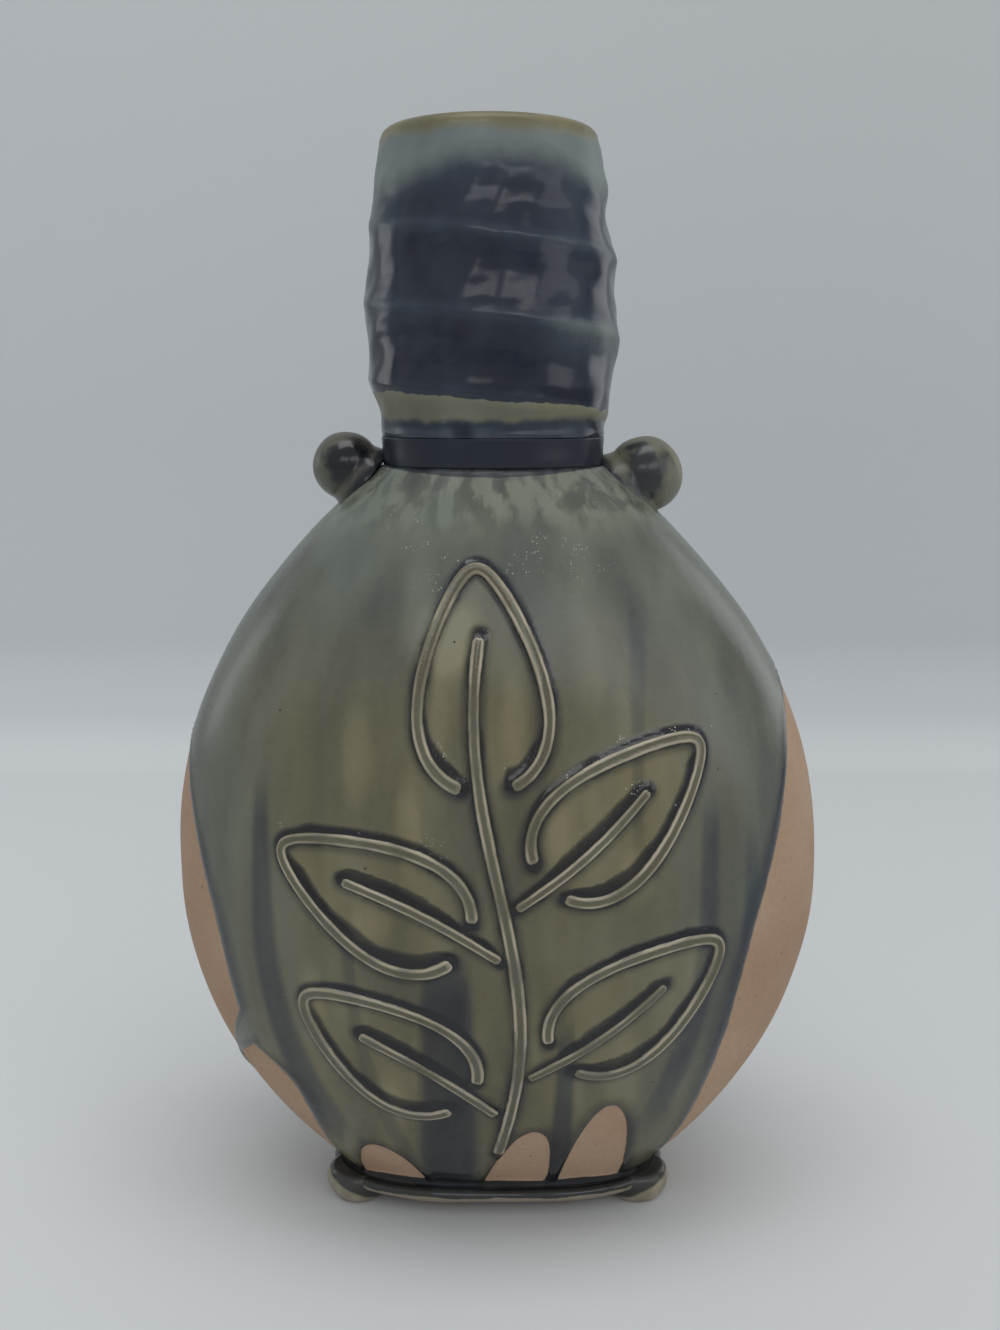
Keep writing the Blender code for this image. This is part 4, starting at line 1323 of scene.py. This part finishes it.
line_material, graph = new_material("slip line glaze")
side = graph.step("ABSOLUTE", graph.read("across"))
side = graph.add(side, graph.swing(graph.noise(330.0, 3.0, 0.6), 0.25))
pale_edge = graph.times(graph.between(side, 0.26, 0.56), graph.between(side, 0.70, 0.88, 1.0, 0.0))
pale_end = graph.times(graph.read("end"), graph.between(side, 0.80, 0.95, 1.0, 0.0))
broken = graph.between(graph.noise(75.0, 2.0), 0.32, 0.64, 0.22, 0.92)
broken = graph.times(broken, graph.step("MAXIMUM", pale_edge, pale_end))
thickness = graph.between(side, 0.80, 0.97, 0.36, 0.96)
coat_look = graph.use("glaze", Thickness=thickness, Warmth=0.75, Streaks=0.1, Mottle=0.25)
graph.paint(
    Base_Color=graph.mix(broken, coat_look["Color"], SLIP_PALE),
    Roughness=graph.between(broken, 0.0, 1.0, 0.10, 0.22),
    Normal=graph.bump(graph.noise(700.0, 2.0), 0.00012, 0.5),
)
print("line material:", len(graph.tree.nodes), "nodes")

# %% [markdown]
# ## Sprig: form of the lines
# A slip line has steep sides and a flat crown with a slight hollow along it. A bevelled curve would
# give a round cord; here the section is carried along the path, square to the face under it, swells
# and thins with the hand, and shrinks to a round end.

# %% Line form
# Half of the section, from the crown's middle to under the foot: across and up.
HALF_SECTION = np.array([
    [0.0, 0.90], [0.20, 0.92], [0.38, 0.98], [0.52, 1.00], [0.66, 0.93], [0.78, 0.76],
    [0.88, 0.50], [0.95, 0.18], [1.00, -0.20], [1.00, -0.45], [0.50, -0.60],
])
SECTION = np.concatenate([HALF_SECTION[:0:-1] * [-1, 1], HALF_SECTION])[::-1]
STEP, COAT_SEAT = 0.0005, 0.00025


def face_normal(x, z, step):
    """Unit normals of the front face: (dy/dx, -1, dy/dz), slopes by central differences."""
    slope_x = (front_y(x + step, z) - front_y(x - step, z)) / (2 * step)
    slope_z = (front_y(x, z + step) - front_y(x, z - step)) / (2 * step)
    out = np.stack([slope_x, -np.ones_like(x), slope_z], axis=1)
    return out / np.linalg.norm(out, axis=1)[:, None]


def slip_line(name, path, width, seed):
    """The section along the path: half width and height follow sqrt(1 - (1 - e)^2) near each end."""
    length = np.concatenate([[0.0], np.cumsum(np.linalg.norm(np.diff(path, axis=0), axis=1))])
    half, total = width / 2, length[-1]
    near = half * (1 - np.cos(np.linspace(0.05, math.pi / 2, 9)))
    even = np.linspace(half, total - half, int((total - width) / STEP))[1:-1]
    places = np.concatenate([near, even, total - near[::-1]])
    ends = np.minimum(np.minimum(places, total - places) / half, 1.0)
    full = np.sqrt(np.clip(1 - (1 - ends) ** 2, 0.004, 1.0))
    x, z = np.interp(places, length, path[:, 0]), np.interp(places, length, path[:, 1])
    spots = np.stack([x, front_y(x, z), z], axis=1)
    out = face_normal(x, z, width / 4)
    aside = np.cross(np.gradient(spots, axis=0), out)
    aside /= np.linalg.norm(aside, axis=1)[:, None]
    hand = 1 + 0.07 * ripples(spots, 0.03, seed) + 0.03 * ripples(spots, 0.009, seed + 1)
    wide = SECTION[:, 0] * (half * full * hand)[:, None]
    tall = SECTION[:, 1] * (LINE_HEIGHT * np.minimum(full * 1.05, 1.0))[:, None] + COAT_SEAT
    grid = spots[:, None, :] + wide[..., None] * aside[:, None, :] + tall[..., None] * out[:, None, :]
    values = {"across": SECTION[None, :, 0], "end": (1 - ends)[:, None]}
    add_surface(f"slip_{name}", grid, line_material, f"trail_{name}", values=values)


print("section of a line:", len(SECTION), "points, a row every", STEP / MM, "mm")

# %% [markdown]
# ## Sprig: the strokes
# Each line is one stroke of the trailer and so a piece of its own. Every stroke has its own seed, so
# that no two swell alike.

# %% Lay the lines
FIRST_SEED = 60

for number, (name, (path, width)) in enumerate(lines.items()):
    slip_line(name, path, width, FIRST_SEED + 2 * number)

# %% [markdown]
# ## Floor and backdrop
# The vase stands on a pale sheet that sweeps up behind it. The sheet is one profile carried across:
# flat, a quarter turn, then upright. Its back is clear, so a camera that goes round the vase and
# stands behind the sheet still sees it.

# %% Floor and backdrop
BACK_Y, BEND, WALL_TOP, HALF_SPAN, NEAR_Y = 0.50, 0.07, 1.9, 5.0, -5.0
# Painted light and shade on the paper up to this height: lightest on the floor, as in the photograph.
TONES_TO = 0.55
PAPER_BAND = (
    (0.0, (0.70, 0.725, 0.735)),
    (0.045, (0.58, 0.605, 0.63)),
    (0.35, (0.545, 0.57, 0.59)),
    (1.0, (0.57, 0.59, 0.605)),
)
# The paper is painted darker to the right: painted shade where the lamps on the right light it most.
PAINTED_SHADE_RIGHT = (0.875, 0.875, 0.875, 1.0)

bend = np.linspace(0.0, math.pi / 2, 24)
quarter = np.stack([BACK_Y - BEND + BEND * np.sin(bend), BEND - BEND * np.cos(bend)], axis=1)
profile = np.concatenate([[[NEAR_Y, 0.0]], quarter, [[BACK_Y, WALL_TOP]]])
points = [(x, y, z) for y, z in profile.tolist() for x in (-HALF_SPAN, HALF_SPAN)]
quads = [(2 * i, 2 * i + 1, 2 * i + 3, 2 * i + 2) for i in range(len(profile) - 1)]
mesh = bpy.data.meshes.new("sweep")
mesh.from_pydata(points, [], quads)
mesh.shade_smooth()
sweep_material, graph = new_material("pale paper", Roughness=0.9, Specular_IOR_Level=0.1)
# The paper's painted light and shade, by height.
paper = graph.ramp(graph.times(graph.along("Z"), 1 / TONES_TO), PAPER_BAND)
rightward = graph.between(graph.along("X"), -0.35, 0.45)
seen_from_behind = graph.node("NewGeometry").outputs["Backfacing"]
graph.paint(
    Base_Color=graph.mix(rightward, paper, graph.mix(1.0, paper, PAINTED_SHADE_RIGHT, "MULTIPLY")),
    Alpha=graph.rest_of(seen_from_behind),
)
mesh.materials.append(sweep_material)
backdrop = bpy.data.objects.new("sweep", mesh)
scene.collection.objects.link(backdrop)
print("sheet:", len(quads), "strips, wall at", BACK_Y, "m")

# %% [markdown]
# ## Light
# The light is a plain soft room: an even pale world, one wide lamp overhead, and windows at the sides.
# Five panes in front are there for their reflections, which break up on the neck's crests as window
# panes do. A sky picture could do it all, but it would be an image; lamps can be named and moved.

# %% Light
WORLD_COLOUR, WORLD_STRENGTH = (0.965, 0.985, 1.0, 1.0), 0.515
AIM_HEIGHT = 0.16
# Azimuth and elevation in degrees, distance, width and height in metres, and radiance.
LAMPS = {
    "ceiling": (3.0, 80.0, 1.3, 1.1, 0.6, 3.1),
    "window right": (64.0, 14.0, 1.1, 0.62, 0.56, 0.88),
    "window left": (-112.0, 11.0, 0.7, 0.18, 0.27, 1.25),
    "window far right": (122.0, 12.0, 0.7, 0.28, 0.42, 0.95),
}
for azimuth in (-12.0, -1.0, 17.0, 28.0, 39.0):
    LAMPS[f"pane {azimuth:.0f}"] = (azimuth, 26.0, 1.2, 0.19, 0.27, 1.9)


def add_lamp(name, azimuth, elevation, far, wide, tall, radiance):
    """A soft rectangular lamp, aimed at the vase: azimuth from the camera's side towards +X."""
    a, e = math.radians(azimuth), math.radians(elevation)
    way = np.array([math.sin(a) * math.cos(e), -math.cos(a) * math.cos(e), math.sin(e)])
    lamp = bpy.data.lights.new(name, "AREA")
    lamp.shape = "RECTANGLE"
    lamp.size, lamp.size_y = wide, tall
    lamp.energy = radiance * wide * tall * math.pi
    item = bpy.data.objects.new(name, lamp)
    item.location = way * far + [0.0, 0.0, AIM_HEIGHT]
    item.rotation_euler = (math.pi / 2 - e, 0.0, a)
    scene.collection.objects.link(item)


world = bpy.data.worlds.new("room")
scene.world = world
world.use_nodes = True
sky = world.node_tree.nodes["Background"].inputs
sky["Color"].default_value = WORLD_COLOUR
sky["Strength"].default_value = WORLD_STRENGTH
for name, numbers in LAMPS.items():
    add_lamp(name, *numbers)
scene.view_settings.view_transform = "Standard"
print(len(LAMPS), "lamps and a world of strength", WORLD_STRENGTH)

# %% [markdown] ## End of the scene
